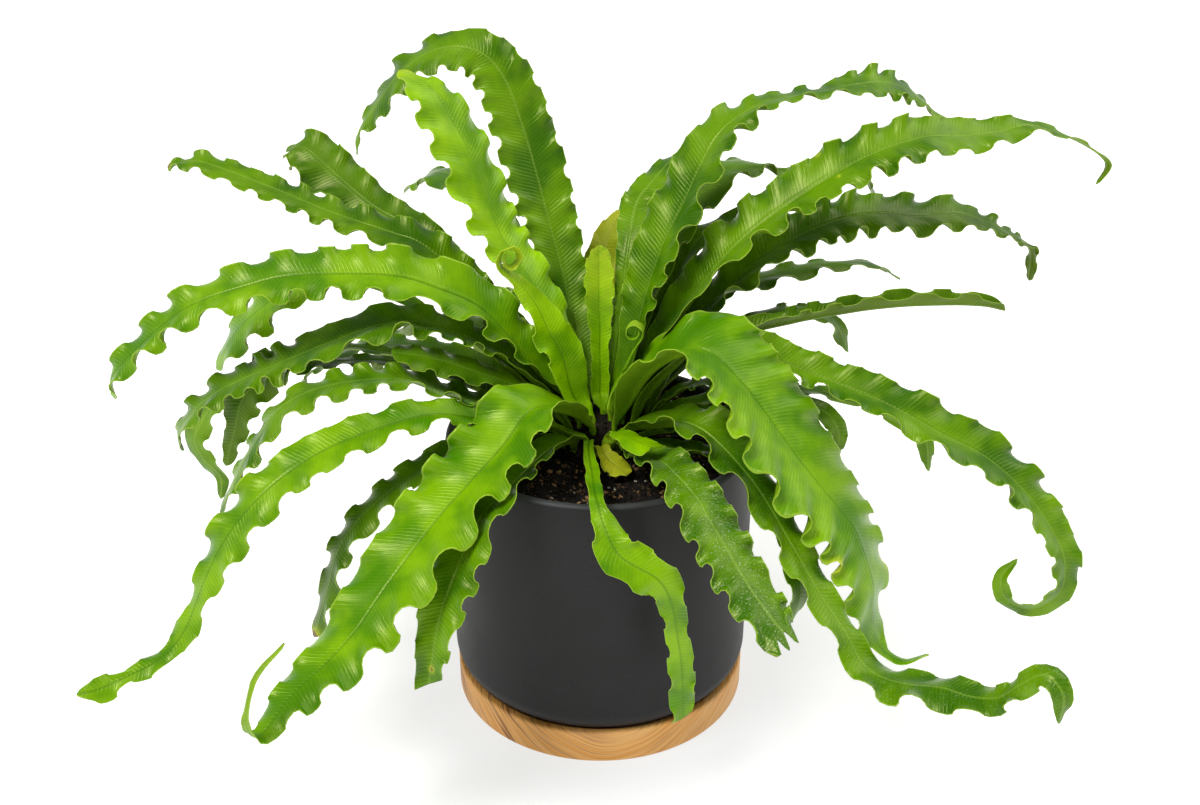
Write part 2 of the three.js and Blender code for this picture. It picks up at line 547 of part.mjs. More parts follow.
// Joins the sections into one closed solid, split alike on both faces.
const skin = (sections) => {
  const faces = [];
  const ring = sections[0].length;
  const quad = (a, b, c, d) => faces.push(a, b, c, a, c, d);
  for (let i = 0; i + 1 < sections.length; i += 1) {
    const here = i * ring;
    const next = here + ring;
    quad(here, here + 1, next + 1, next);
    faces.push(here + 1, here + 2, next + 1, here + 2, next + 2, next + 1);
    quad(here + 2, here + 3, next + 3, next + 2);
    quad(here + 3, here + 4, next + 4, next + 3);
    faces.push(here + 4, here + 5, next + 4, here + 5, next + 5, next + 4);
    quad(here + 5, here, next, next + 5);
  }
  const end = (sections.length - 1) * ring;
  faces.push(0, 5, 1, 5, 4, 1, 4, 3, 1, 3, 2, 1);
  faces.push(end, end + 1, end + 5, end + 5, end + 1, end + 4, end + 4, end + 1, end + 3);
  faces.push(end + 3, end + 1, end + 2);
  const geometry = new THREE.BufferGeometry();
  const places = sections.flat().flatMap((point) => [point.x, point.y, point.z]);
  geometry.setAttribute('position', new THREE.Float32BufferAttribute(places, 3));
  geometry.setIndex(faces);
  geometry.computeVertexNormals();
  return geometry;
};

const makeFrond = (row, seat, seed) => {
  const { path, shape } = ribOf(row, seat);
  const sideways = new THREE.Vector3(0, 1, 0);
  const steps = row.waves * (row.stations ?? STATIONS_PER_WAVE);
  const begin = STEM_BEND / path.getLength();
  const stations = Array.from({ length: steps + 1 }, (_, i) => {
    const share = i / steps;
    const along = begin + (1 - begin) * uneven(share, seed);
    const t = path.getUtoTmapping(along);
    const centre = path.getPoint(t);
    const ahead = path.getTangent(t);
    const { x: width, y: roll } = shape.getPoint(t);
    const across = sideways.clone().addScaledVector(ahead, -sideways.dot(ahead)).normalize();
    across.applyAxisAngle(ahead, roll * DEGREES);
    const normal = ahead.clone().cross(across);
    const tip = row.fold ?? FOLD_AT_TIP;
    const fold = (FOLD_AT_BASE + (tip - FOLD_AT_BASE) * Math.min(1.5 * share, 1)) * DEGREES;
    const half = Math.max(width, LEAST_WIDTH) / 2;
    const strength = row.ruffle * smoothstep(0.04, 0.3, share);
    const edge = (sign) => {
      const phase = 2 * Math.PI * (row.waves * share + (sign > 0 ? MARGIN_SHIFT : 0));
      const crest = 0.5 + 0.5 * Math.cos(phase);
      const out = sign * half * (1 - NOTCH * crest * crest * smoothstep(0.04, 0.3, share));
      const rise = half * strength * (crest ** 1.4 - 0.4);
      return centre.clone()
        .addScaledVector(across, out * Math.cos(fold))
        .addScaledVector(normal, Math.abs(out) * Math.sin(fold) + rise);
    };
    return { centre, across, normal, share, left: edge(1), right: edge(-1) };
  });
  const sections = stations.map((station, i) => {
    const before = stations[Math.max(i - 1, 0)];
    const after = stations[Math.min(i + 1, steps)];
    const edges = ['left', 'right'].map((side) => {
      const run = after[side].clone().sub(before[side]);
      const reach = station[side].clone().sub(station.centre);
      const normal = side === 'left' ? run.cross(reach) : reach.cross(run);
      return { point: station[side], normal: normal.normalize() };
    });
    const rib = STEM_THICKNESS + (TIP_RIB_THICKNESS - STEM_THICKNESS) * Math.min(1.6 * station.share, 1);
    const margin = Math.max(EDGE_THICKNESS, STEM_THICKNESS * (1 - 8 * station.share));
    return section(station.centre, station.across, station.normal, edges, rib, margin);
  });
  return part(row.name, skin([...stemSections(seat), ...sections]), row.colour);
};

// The straight foot of a stem, which stands upright in its hole.
const stemSections = (seat) => {
  const normal = new THREE.Vector3(-1, 0, 0);
  const across = new THREE.Vector3(0, 1, 0);
  return [seat.top - STEM_PROUD - STEM_DEPTH, seat.top].map((height) => {
    const centre = new THREE.Vector3(seat.reach, seat.side, height);
    const edges = [1, -1].map((sign) => ({
      point: centre.clone().addScaledVector(across, (sign * STEM_WIDTH) / 2),
      normal,
    }));
    return section(centre, across, normal, edges, STEM_THICKNESS, STEM_THICKNESS);
  });
};

// Seats stand round each ring, between an even spacing and their own fronds' azimuths.
const seatsOf = (rows, radius) => {
  const spacing = 360 / rows.length;
  const turn = rows.reduce((sum, row, i) => sum + row.azimuth - i * spacing, 0) / rows.length;
  return rows.map((row, i) => {
    const even = turn + i * spacing;
    const angle = (even + SEAT_PULL * (row.azimuth - even)) * DEGREES;
    const azimuth = row.azimuth * DEGREES;
    return {
      x: radius * Math.cos(angle),
      y: radius * Math.sin(angle),
      azimuth,
      reach: radius * Math.cos(angle - azimuth),
      side: radius * Math.sin(angle - azimuth),
      top: crownHeight(radius) + STEM_PROUD,
    };
  });
};

// ---------------------------------------------------------------------------------------------
// The plant in its pot
// ---------------------------------------------------------------------------------------------
const fronds = new THREE.Group();
const seats = TIERS.map((rows, tier) => seatsOf(rows, TIER_RADII[tier]));
TIERS.forEach((rows, tier) => {
  rows.forEach((row, i) => {
    const seat = seats[tier][i];
    const frond = makeFrond(row, seat, 20 * tier + i + 1);
    frond.rotation.z = seat.azimuth;
    fronds.add(frond);
  });
});

const plant = new THREE.Group();
plant.add(makeSaucer(), makePot(), makeSoil(), makeRootstock(seats.flat()), fronds);

export default plant;
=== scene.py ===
"""A potted ruffled bird's-nest fern, dressed for rendering.

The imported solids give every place: the script loads them, lays a finer piece over each one and
sets the stage. Sizes in the tables are millimetres, and meshes are made in metres.
"""
import math

import bpy
import numpy as np
from bpy.props import FloatProperty, FloatVectorProperty, IntProperty, PointerProperty
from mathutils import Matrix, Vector


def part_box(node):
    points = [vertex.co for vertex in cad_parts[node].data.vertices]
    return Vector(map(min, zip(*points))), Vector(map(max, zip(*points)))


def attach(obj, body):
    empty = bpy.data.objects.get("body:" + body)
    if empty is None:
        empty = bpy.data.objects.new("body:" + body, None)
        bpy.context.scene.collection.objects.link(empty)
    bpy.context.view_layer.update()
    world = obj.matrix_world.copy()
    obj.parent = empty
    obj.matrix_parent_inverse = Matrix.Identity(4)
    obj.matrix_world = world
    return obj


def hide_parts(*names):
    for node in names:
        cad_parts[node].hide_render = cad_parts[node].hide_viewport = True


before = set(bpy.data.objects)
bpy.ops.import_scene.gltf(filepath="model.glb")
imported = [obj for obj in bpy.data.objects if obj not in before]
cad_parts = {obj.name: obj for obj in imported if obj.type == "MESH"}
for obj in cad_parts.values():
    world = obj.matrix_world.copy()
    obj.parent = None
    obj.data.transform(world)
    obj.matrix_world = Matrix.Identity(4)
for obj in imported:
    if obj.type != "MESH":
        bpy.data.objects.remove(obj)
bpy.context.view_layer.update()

bl_info = {
    "name": "Potted ruffled fern",
    "version": (1, 0, 0),
    "blender": (4, 5, 0),
    "location": "View3D > Sidebar > Fern",
    "description": "Makes a ruffled strap-leaved fern in a charcoal pot on a wooden saucer",
    "category": "Add Mesh",
}

MM = 0.001
BODY = "root"
TURN = 2 * math.pi

# ---------------------------------------------------------------------------------------------
# Sizes that the solids have, in millimetres
# ---------------------------------------------------------------------------------------------
SAUCER_EDGE = 1.5
RECESS_DEPTH = 3
RECESS_RADIUS = 77.2
POT_FOOT_ROUND = 15
POT_INSIDE_ROUND = 10
POT_FLOOR = 6
DRAIN_RADIUS = 6
SOIL_TOP_Z = 150
CROWN_RADIUS = 30
CROWN_FOOT_Z = 138
CROWN_TOP_RADIUS = 9
CROWN_SHOULDER_Z = 152
CROWN_TOP_Z = 165
GAP = 0.3

TIER_RADII = (6, 12, 18, 24)
STEM_WIDTH = 4
STEM_PROUD = 1.5
SEAT_PULL = 0.25
STEM_BEND = 6
LEAST_WIDTH = 1.8
FOLD_AT_BASE = 32
FOLD_AT_TIP = -8

# ---------------------------------------------------------------------------------------------
# Fronds. A frond leans out at its azimuth (degrees from +X towards +Y). Each rib point is
# (reach from the pot's axis, height above the floor, width there, side offset, roll in degrees).
# A frond's own roll serves where its rib points give none. waves counts the waves of a margin,
# ruffle is their height as a share of the half width, fold is how many degrees each half rises
# past the middle, and coil is a crozier's turns with its outer and inner radius.
# ---------------------------------------------------------------------------------------------
TIERS = [
    [
        {
            "name": "small_crozier", "azimuth": -5, "slot": "frond_young", "waves": 4,
            "ruffle": 0.05, "coil": (1.1, 4.6, 2.6),
            "rib": [(8, 178, 4, 2), (12, 190, 5, 1), (18, 205, 7), (22, 214, 8)],
        },
        {
            "name": "upright_young_frond", "azimuth": 90, "slot": "frond_young", "waves": 5,
            "ruffle": 0.1, "fold": 18,
            "rib": [(11, 174, 5), (15, 190, 9), (20, 206, 13), (26, 226, 17), (29, 240, 16),
                    (31, 250, 8)],
        },
        {
            "name": "lime_back_frond", "azimuth": 150, "slot": "frond_young", "waves": 11,
            "ruffle": 0.3,
            "rib": [(13, 176, 5), (18, 190, 9), (24, 206, 14), (32, 222, 22), (42, 235, 29),
                    (52, 246, 34), (61, 258, 37), (68, 273, 40), (74, 289, 42), (81, 303, 43),
                    (89, 315, 41), (97, 326, 34), (108, 332, 22), (120, 335, 8)],
        },
        {
            "name": "large_crozier", "azimuth": 200, "slot": "frond_young", "waves": 5,
            "ruffle": 0.2, "coil": (1.25, 6, 3),
            "rib": [(12, 174, 7, 0, -50), (17, 184, 16, 0, -60), (21, 202, 24, 0, -60),
                    (28, 219, 24, 0, -60), (35, 235, 17, 0, -50), (43, 247, 11, 0, -40),
                    (52, 257, 7, 0, -30)],
        },
    ],
    [
        {
            "name": "broad_front_right_frond", "azimuth": -33, "slot": "frond_fresh", "waves": 14,
            "ruffle": 0.32,
            "rib": [(18, 178, 14, 0, 8), (26, 193, 30, 0, 8), (35, 204, 42, 0, 8),
                    (49, 214, 53, 0, 6), (62, 218, 57, 0, 6), (83, 205, 60, 0, 6),
                    (96, 191, 63, 2, 6), (114, 171, 65, 4, 4), (135, 149, 62, 7),
                    (146, 137, 55, 7), (157, 114, 47, 6), (159, 97, 38, 5), (162, 86, 24, 4),
                    (167, 80, 10, 2), (179, 79, 6), (191, 88, 2)],
        },
        {
            "name": "long_right_frond", "azimuth": 14, "slot": "frond_mature", "waves": 13,
            "ruffle": 0.36, "fold": 4,
            "rib": [(18, 180, 6), (33, 205, 16), (49, 227, 28), (74, 256, 35, 0, 8),
                    (105, 278, 36, 0, 16), (137, 296, 34, 0, 25), (170, 305, 30, 0, 30),
                    (193, 304, 26, 0, 30), (215, 305, 20, 0, 30), (232, 307, 14, 0, 20),
                    (260, 298, 9), (282, 284, 7), (278, 272, 2)],
        },
        {
            "name": "tall_right_frond", "azimuth": 35, "slot": "frond_mature", "waves": 13,
            "ruffle": 0.34, "fold": -2,
            "rib": [(19, 190, 7), (28, 224, 23), (40, 253, 34), (51, 270, 37), (63, 290, 37),
                    (74, 305, 34), (89, 314, 28), (112, 319, 21), (150, 319, 19),
                    (175, 319, 24, 0, 20), (196, 317, 27, 0, 28), (215, 310, 25, 0, 28),
                    (232, 299, 17, 0, 20), (249, 287, 7)],
        },
        {
            "name": "slim_back_frond", "azimuth": 70, "slot": "frond_mature", "waves": 8,
            "ruffle": 0.3,
            "rib": [(19, 190, 5, -2), (24, 212, 7, -3), (33, 237, 11, -2), (45, 252, 15, -1),
                    (64, 265, 20, 1), (77, 272, 21, -2), (98, 278, 15, -5), (115, 279, 3, -9)],
        },
        {
            "name": "tall_back_frond", "azimuth": 145, "slot": "frond_mature", "waves": 13,
            "ruffle": 0.26,
            "rib": [(14, 178, 5, -6, -30), (23, 197, 11, -12, -30), (37, 221, 23, -21, -30),
                    (59, 266, 35, -30, -30), (75, 303, 36, -34, -30), (85, 326, 33, -34, -35),
                    (96, 339, 30, -31, -40), (108, 343, 29, -25, -38), (122, 340, 31, -17, -40),
                    (136, 328, 31, -7, -50), (149, 309, 24, 1, -50), (157, 296, 10, 6, -50),
                    (158, 284, 2, 8, -50)],
        },
        {
            "name": "high_left_frond", "azimuth": 162, "slot": "frond_mature", "waves": 14,
            "ruffle": 0.42, "roll": -14, "fold": 0,
            "rib": [(19, 174, 6), (31, 185, 11), (46, 199, 18), (75, 232, 26), (98, 250, 27),
                    (116, 255, 26), (150, 263, 23), (180, 272, 21), (213, 281, 19), (231, 284, 17),
                    (248, 280, 8)],
        },
        {
            "name": "long_left_frond", "azimuth": 184, "slot": "frond_fresh", "waves": 13,
            "ruffle": 0.42, "roll": -28, "fold": 2,
            "rib": [(19, 179, 7, 0, 0), (29, 189, 13, 0, -10), (42, 206, 24, 0, -20),
                    (61, 228, 32), (81, 239, 34), (105, 247, 34), (150, 249, 32), (177, 244, 30),
                    (206, 234, 26), (231, 215, 21), (249, 197, 15), (250, 184, 5)],
        },
        {
            "name": "broad_front_left_frond", "azimuth": 231, "slot": "frond_fresh", "waves": 12,
            "ruffle": 0.38,
            "rib": [(18, 172, 9), (27, 179, 16), (42, 187, 28), (54, 190, 37), (63, 186, 42),
                    (76, 178, 46), (98, 167, 48, -1), (124, 154, 48, -2), (152, 137, 45, -3),
                    (172, 122, 40, -4), (189, 115, 34, -4), (213, 109, 23, -3), (231, 102, 11, -1),
                    (238, 113, 5), (231, 132, 3), (214, 141, 2)],
        },
    ],
    [
        {
            "name": "trailing_right_frond", "azimuth": -45, "slot": "frond_mature", "waves": 13,
            "ruffle": 0.4,
            "rib": [(26, 168, 8), (34, 172, 13), (48, 178, 18), (61, 183, 24), (78, 180, 27, 1),
                    (103, 164, 25, 3), (127, 141, 22, 3), (148, 120, 20, 2), (165, 106, 18, 1),
                    (174, 97, 19), (185, 95, 25), (200, 99, 27), (216, 106, 24, 0, 10),
                    (230, 109, 19, 0, 20), (243, 116, 15, 0, 30), (251, 127, 13, 0, 40),
                    (261, 138, 12, 0, 40), (270, 133, 10, 0, 30), (271, 119, 3, 0, 20)],
        },
        {
            "name": "hooked_right_frond", "azimuth": -16, "slot": "frond_mature", "waves": 13,
            "ruffle": 0.36, "roll": 22, "fold": 12,
            "rib": [(25, 180, 8, 1, 0), (38, 198, 13, 3, 10), (52, 210, 18, 6), (75, 210, 21, 9),
                    (98, 203, 23, 10), (123, 197, 25, 7), (151, 190, 29, 2), (175, 180, 31),
                    (198, 170, 30), (220, 152, 27), (238, 128, 22, 0, 35), (244, 110, 18, 0, 48),
                    (242, 96, 15, 0, 60), (231, 86, 12, 0, 65), (218, 90, 11, 0, 65),
                    (214, 103, 8, 0, 65), (220, 115, 2, 0, 65)],
        },
        {
            "name": "dark_right_frond", "azimuth": 20, "slot": "frond_shaded", "waves": 13,
            "ruffle": 0.45, "fold": 0,
            "rib": [(26, 183, 7), (45, 208, 16), (76, 231, 26, 0, 8), (93, 245, 29, 0, 16),
                    (113, 253, 31, 0, 24), (136, 259, 31, 0, 28), (160, 260, 30, 0, 28),
                    (186, 256, 28, 0, 28), (212, 254, 23, 0, 28), (242, 241, 15, 0, 20),
                    (262, 228, 13), (265, 208, 6)],
        },
        {
            "name": "far_right_frond", "azimuth": 50, "slot": "frond_shaded", "waves": 8,
            "ruffle": 0.35,
            "rib": [(27, 196, 8), (42, 225, 15), (60, 248, 20), (78, 265, 27), (97, 276, 32),
                    (120, 278, 35), (152, 268, 32), (180, 257, 8)],
        },
        {
            "name": "yellow_green_back_frond", "azimuth": 92, "slot": "frond_yellowing",
            "waves": 6, "ruffle": 0.25,
            "rib": [(25, 176, 6), (40, 194, 14), (60, 214, 20), (75, 232, 20, -5),
                    (88, 244, 13, -13), (92, 248, 4, -20)],
        },
        {
            "name": "small_back_left_frond", "azimuth": 123, "slot": "frond_mature", "waves": 7,
            "ruffle": 0.4, "roll": -20,
            "rib": [(25, 178, 6, 2, 0), (35, 187, 7, 4, 0), (49, 202, 8, 4, -10), (70, 224, 10, 2),
                    (98, 247, 14), (125, 257, 18), (150, 258, 22), (180, 255, 25), (207, 243, 20),
                    (232, 229, 5)],
        },
        {
            "name": "upper_left_frond", "azimuth": 148, "slot": "frond_shaded", "waves": 11,
            "ruffle": 0.35, "roll": -30,
            "rib": [(30, 178, 8, 0, 0), (51, 200, 16, 0, -10), (83, 221, 20, 0, -20),
                    (103, 238, 21), (120, 248, 23), (147, 256, 27), (174, 269, 32), (198, 282, 30),
                    (213, 277, 8)],
        },
        {
            "name": "middle_left_frond", "azimuth": 186, "slot": "frond_mature", "waves": 12,
            "ruffle": 0.38, "roll": -12, "fold": 0,
            "rib": [(27, 179, 6, 0, 0), (37, 191, 11, 0, -6), (57, 208, 17), (87, 221, 25),
                    (106, 224, 29), (137, 214, 31), (168, 202, 30), (199, 188, 26), (218, 169, 19),
                    (218, 157, 7)],
        },
        {
            "name": "rolled_left_frond", "azimuth": 193, "slot": "frond_shaded", "waves": 7,
            "ruffle": 0.2,
            "rib": [(29, 178, 6, 3), (39, 185, 11, 1, -10), (63, 197, 20, 0, -15),
                    (88, 209, 21, 2, -15), (107, 214, 16, 2, -15)],
        },
        {
            "name": "long_lower_left_frond", "azimuth": 210, "slot": "frond_fresh", "waves": 12,
            "ruffle": 0.3, "roll": -18,
            "rib": [(26, 164, 5, 4, 0), (47, 176, 11, 1, -8), (70, 181, 14), (94, 190, 18),
                    (122, 190, 22), (152, 185, 26), (176, 175, 27), (197, 158, 26), (212, 137, 21),
                    (220, 121, 11), (227, 108, 16, 0, -30), (236, 99, 9, 0, -10), (246, 95, 14),
                    (256, 93, 7), (266, 91, 14, 0, -40), (273, 91, 9, 0, -50), (279, 92, 3)],
        },
    ],
    [
        {
            "name": "narrow_front_frond", "azimuth": -80, "slot": "frond_fresh", "waves": 7,
            "ruffle": 0.3,
            "rib": [(30, 166, 5, -11), (40, 167, 5, -13), (58, 167, 7, -15), (78, 167, 8, -17),
                    (92, 165, 8, -17), (102, 158, 15, -15), (109, 149, 21, -10),
                    (113, 143, 22, -1), (116, 137, 20, 8), (116, 123, 14, 14), (115, 101, 12, 18),
                    (113, 78, 14, 21), (109, 44, 12, 23)],
        },
        {
            "name": "short_yellow_leaf", "azimuth": -72, "slot": "frond_yellowing", "waves": 3,
            "ruffle": 0.15,
            "rib": [(29, 161, 5, -8), (36, 159, 12, -7), (44, 157, 14, -4), (51, 157, 3, -2)],
        },
        {
            "name": "short_lime_leaf", "azimuth": -68, "slot": "frond_young", "waves": 3,
            "ruffle": 0.15,
            "rib": [(29, 169, 5, -3), (38, 175, 9, -6), (48, 178, 14, -6), (58, 179, 16, -3),
                    (67, 179, 15, 1)],
        },
        {
            "name": "speckled_front_frond", "azimuth": -64, "slot": "frond_mature", "waves": 10,
            "ruffle": 0.4,
            "rib": [(31, 162, 6), (40, 162, 10), (52, 165, 18), (71, 171, 25), (99, 168, 28, 1),
                    (116, 160, 29, 2), (131, 153, 29, 3), (147, 145, 28, 4), (163, 138, 26, 5),
                    (171, 135, 24, 6), (178, 131, 21, 7)],
        },
        {
            "name": "hidden_front_right_frond", "azimuth": -41, "slot": "frond_shaded", "waves": 7,
            "ruffle": 0.3,
            "rib": [(30, 158, 5, -2), (50, 162, 9, 2), (75, 166, 11, 6), (95, 160, 12, 9),
                    (112, 143, 14, 9), (125, 122, 17, 5), (130, 107, 16, 2), (127, 92, 4)],
        },
        {
            "name": "short_dark_right_frond", "azimuth": -31, "slot": "frond_shaded", "waves": 5,
            "ruffle": 0.25,
            "rib": [(31, 164, 5), (45, 169, 11), (60, 174, 14), (75, 177, 12), (85, 174, 4)],
        },
        {
            "name": "drooping_right_frond", "azimuth": -15, "slot": "frond_shaded", "waves": 7,
            "ruffle": 0.3,
            "rib": [(31, 164, 4, -2), (55, 174, 8), (87, 181, 11, 4), (107, 184, 11, 7, 20),
                    (120, 177, 11, 8, 45), (125, 165, 11, 9, 60), (123, 153, 4, 9, 60)],
        },
        {
            "name": "inner_right_frond", "azimuth": -12, "slot": "frond_shaded", "waves": 5,
            "ruffle": 0.25,
            "rib": [(30, 172, 5, 1), (40, 183, 11), (56, 192, 14), (74, 193, 12), (85, 188, 4)],
        },
        {
            "name": "thin_right_frond", "azimuth": -3, "slot": "frond_mature", "waves": 6,
            "ruffle": 0.3,
            "rib": [(31, 165, 5, 2), (52, 174, 9), (75, 180, 12), (98, 183, 14), (131, 180, 14),
                    (160, 167, 12, 0, 20), (173, 156, 12, 0, 60), (177, 137, 3, 0, 60)],
        },
        {
            "name": "folded_right_frond", "azimuth": 5, "slot": "frond_shaded", "waves": 10,
            "ruffle": 0.35, "fold": 60,
            "rib": [(31, 180, 6), (44, 200, 12), (73, 210, 15), (114, 218, 16), (145, 222, 16),
                    (171, 223, 16), (200, 222, 13), (214, 219, 6)],
        },
        {
            "name": "drooping_far_right_frond", "azimuth": 19, "slot": "frond_shaded", "waves": 7,
            "ruffle": 0.3,
            "rib": [(31, 174, 6), (60, 196, 12), (90, 210, 16), (114, 212, 16),
                    (134, 203, 13, 0, 20), (141, 194, 12, 0, 60), (147, 181, 3, 0, 60)],
        },
        {
            "name": "ragged_right_frond", "azimuth": 29, "slot": "frond_shaded", "waves": 9,
            "ruffle": 0.35,
            "rib": [(31, 184, 6), (60, 216, 15), (85, 223, 21), (111, 225, 22), (139, 226, 18),
                    (170, 222, 13), (184, 217, 10), (201, 206, 3)],
        },
        {
            "name": "drooping_behind_right_frond", "azimuth": 42, "slot": "frond_shaded",
            "waves": 11, "ruffle": 0.35,
            "rib": [(31, 186, 6), (43, 212, 14), (61, 238, 20), (76, 250, 18), (103, 253, 18),
                    (145, 260, 18), (190, 263, 21, 0, 20), (213, 256, 23, 0, 30),
                    (228, 239, 13, 0, 30)],
        },
        {
            "name": "low_back_frond_1", "azimuth": 68, "slot": "frond_mature", "waves": 8,
            "ruffle": 0.3,
            "rib": [(31, 174, 6), (60, 196, 18), (98, 204, 24), (138, 194, 22), (168, 168, 12),
                    (176, 148, 3)],
        },
        {
            "name": "low_back_frond_2", "azimuth": 88, "slot": "frond_mature", "waves": 10,
            "ruffle": 0.32,
            "rib": [(31, 170, 6), (60, 190, 18), (105, 199, 26), (155, 182, 26), (192, 142, 20),
                    (210, 96, 8), (212, 84, 3)],
        },
        {
            "name": "low_back_frond_3", "azimuth": 112, "slot": "frond_mature", "waves": 10,
            "ruffle": 0.32,
            "rib": [(31, 172, 6), (60, 190, 18), (105, 196, 26), (155, 180, 28), (195, 148, 22),
                    (222, 108, 12), (230, 86, 3)],
        },
        {
            "name": "low_back_frond_4", "azimuth": 138, "slot": "frond_shaded", "waves": 9,
            "ruffle": 0.32,
            "rib": [(31, 170, 6), (60, 184, 16), (100, 190, 24), (145, 180, 24), (180, 150, 18),
                    (196, 118, 4)],
        },
        {
            "name": "low_back_frond_5", "azimuth": 160, "slot": "frond_shaded", "waves": 9,
            "ruffle": 0.32,
            "rib": [(31, 168, 6), (60, 182, 14), (100, 190, 20), (145, 184, 20), (180, 160, 14),
                    (192, 140, 4)],
        },
        {
            "name": "hanging_left_frond_1", "azimuth": 172, "slot": "frond_mature", "waves": 8,
            "ruffle": 0.3,
            "rib": [(31, 162, 5, -4), (70, 182, 9, -1), (120, 196, 11), (160, 195, 13),
                    (192, 182, 14, 0, -20), (212, 165, 14, 0, -50), (226, 145, 15, 0, -70),
                    (231, 133, 16, 0, -75), (227, 121, 15, 0, -75), (219, 111, 11, 0, -75),
                    (221, 96, 3, 0, -75)],
        },
        {
            "name": "middle_left_under_frond", "azimuth": 174, "slot": "frond_fresh", "waves": 9,
            "ruffle": 0.35,
            "rib": [(31, 176, 5), (63, 203, 8), (103, 228, 11), (134, 237, 14),
                    (151, 236, 21, 0, -10), (164, 230, 29, 0, -25), (177, 222, 33, 0, -30),
                    (191, 210, 30, 0, -30), (201, 197, 24, 0, -30), (209, 183, 8, 0, -30)],
        },
        {
            "name": "hanging_left_frond_2", "azimuth": 182, "slot": "frond_shaded", "waves": 8,
            "ruffle": 0.3,
            "rib": [(31, 164, 5), (60, 181, 9), (104, 198, 13), (140, 199, 16),
                    (160, 200, 20, 0, -30), (173, 194, 25, 0, -60), (187, 178, 21, 0, -70),
                    (193, 161, 16, 0, -70), (201, 139, 5, 0, -70)],
        },
        {
            "name": "olive_left_frond", "azimuth": 198, "slot": "frond_mature", "waves": 12,
            "ruffle": 0.34,
            "rib": [(31, 170, 5), (45, 176, 10), (64, 182, 17), (84, 192, 23), (104, 202, 27),
                    (139, 204, 29), (163, 196, 28), (177, 180, 25), (190, 160, 19), (199, 143, 4)],
        },
        {
            "name": "dark_lower_left_frond", "azimuth": 213, "slot": "frond_shaded", "waves": 9,
            "ruffle": 0.34,
            "rib": [(31, 162, 5), (49, 167, 11, -1), (69, 170, 15, -2), (84, 169, 18, -3),
                    (103, 163, 20, -4), (122, 155, 22, -4), (139, 145, 22, -3), (151, 133, 20, -2),
                    (158, 118, 18), (163, 105, 16), (169, 90, 9)],
        },
        {
            "name": "cut_front_left_frond", "azimuth": 239, "slot": "frond_mature", "waves": 9,
            "ruffle": 0.3, "fold": 6,
            "rib": [(31, 164, 6, 0, 10), (41, 167, 12, 0, 12), (59, 167, 18, 0, 14),
                    (82, 164, 24, 0, 14), (104, 160, 27, 0, 12), (116, 152, 29, 0, 8),
                    (129, 140, 28, 0), (139, 129, 26, 0), (149, 112, 21, 0), (157, 89, 14, 0)],
        },
    ],
]

# What each frond shows of its own. scallops multiplies the wave count of its margin and swing
# the height of the waves, notch and wing stand in for NOTCH and WING, cut names how its tip is
# torn, specks is how much crust of dried water it carries, and blotches are (kind, share of its
# length, side from -1 to 1, size in mm).
LOOKS = {
    "tall_back_frond": {"scallops": 1.5, "notch": 0.18, "swing": 1.1},
    "dark_right_frond": {"scallops": 1.6},
    "slim_back_frond": {"scallops": 1.6},
    "tall_right_frond": {"scallops": 1.5},
    "long_right_frond": {
        "scallops": 1.3,
        "blotches": [("yellow", 0.485, 0.9, 1.4), ("yellow", 0.489, -0.2, 1.2)],
    },
    "lime_back_frond": {"notch": 0.08, "swing": 0.85, "blotches": [("tip", 0.97, 0, 10)]},
    "large_crozier": {"blotches": [("tip", 0.7, 0, 30)]},
    "upright_young_frond": {"scallops": 1.6, "blotches": [("tip", 0.75, 0, 25)]},
    "high_left_frond": {"scallops": 1.15, "blotches": [("brown", 1.0, 0.5, 1.5)]},
    "long_left_frond": {"swing": 1.25},
    "hooked_right_frond": {"scallops": 1.5},
    "middle_left_frond": {"scallops": 1.4},
    "long_lower_left_frond": {"scallops": 1.3, "swing": 1.3},
    "broad_front_right_frond": {
        "swing": 0.62, "blotches": [("yellow", 0.703, -0.9, 4), ("yellow", 0.77, 0.95, 4)],
    },
    "hanging_left_frond_1": {"scallops": 1.8, "notch": 0.3},
    "hanging_left_frond_2": {"scallops": 1.8, "notch": 0.3},
    "speckled_front_frond": {"specks": 0.34, "cut": "forked"},
    "trailing_right_frond": {"specks": 0.12, "swing": 1.2},
    "cut_front_left_frond": {"cut": "slant", "blotches": [("brown", 0.93, 0.1, 0.9)]},
    "narrow_front_frond": {
        "cut": "slant", "wing": 0.3, "scallops": 1.5, "swing": 1.4, "notch": 0.22,
    },
    "short_lime_leaf": {"cut": "square"},
    "dark_lower_left_frond": {"blotches": [("brown", 1.0, 0, 2.5)]},
    "upper_left_frond": {"cut": "notched"},
}

# ---------------------------------------------------------------------------------------------
# Sizes in millimetres, shares, tones and places that the solids don't give
# ---------------------------------------------------------------------------------------------
ROWS_PER_SCALLOP = 11  # cross-sections for each wave of the margin
RIB_STRIP = 1.8  # half width of the strip about the rib that has columns of its own
STRIP_COLUMNS = (0.0, 0.3, 0.6, 1.0)  # shares of that strip
BLADE_COLUMNS = (0.1, 0.25, 0.42, 0.58, 0.73, 0.86, 0.95, 1.0)  # shares of the rest of the half
DRAG = 0.07  # how far crests and troughs spread along the margin, as a share of the wave
NOTCH = 0.14  # how far the crests of the waves draw in
SLANT = 0.5  # how far the waves lean towards the tip, as the side veins do
RUFFLE_POWER = 2.3  # how fast a wave grows from the rib to the margin
ARCH = 0.1  # crown of each half between rib and margin
STRAY = 0.16  # how far the waves stray from an even row, as a share of a wave
WANDER = 0.7  # how far the rib strays sideways
WING = 3.0  # how far the blade runs down both sides of the stem
GROOVE_WIDTH = 0.4  # of the dip along the rib of the upper face
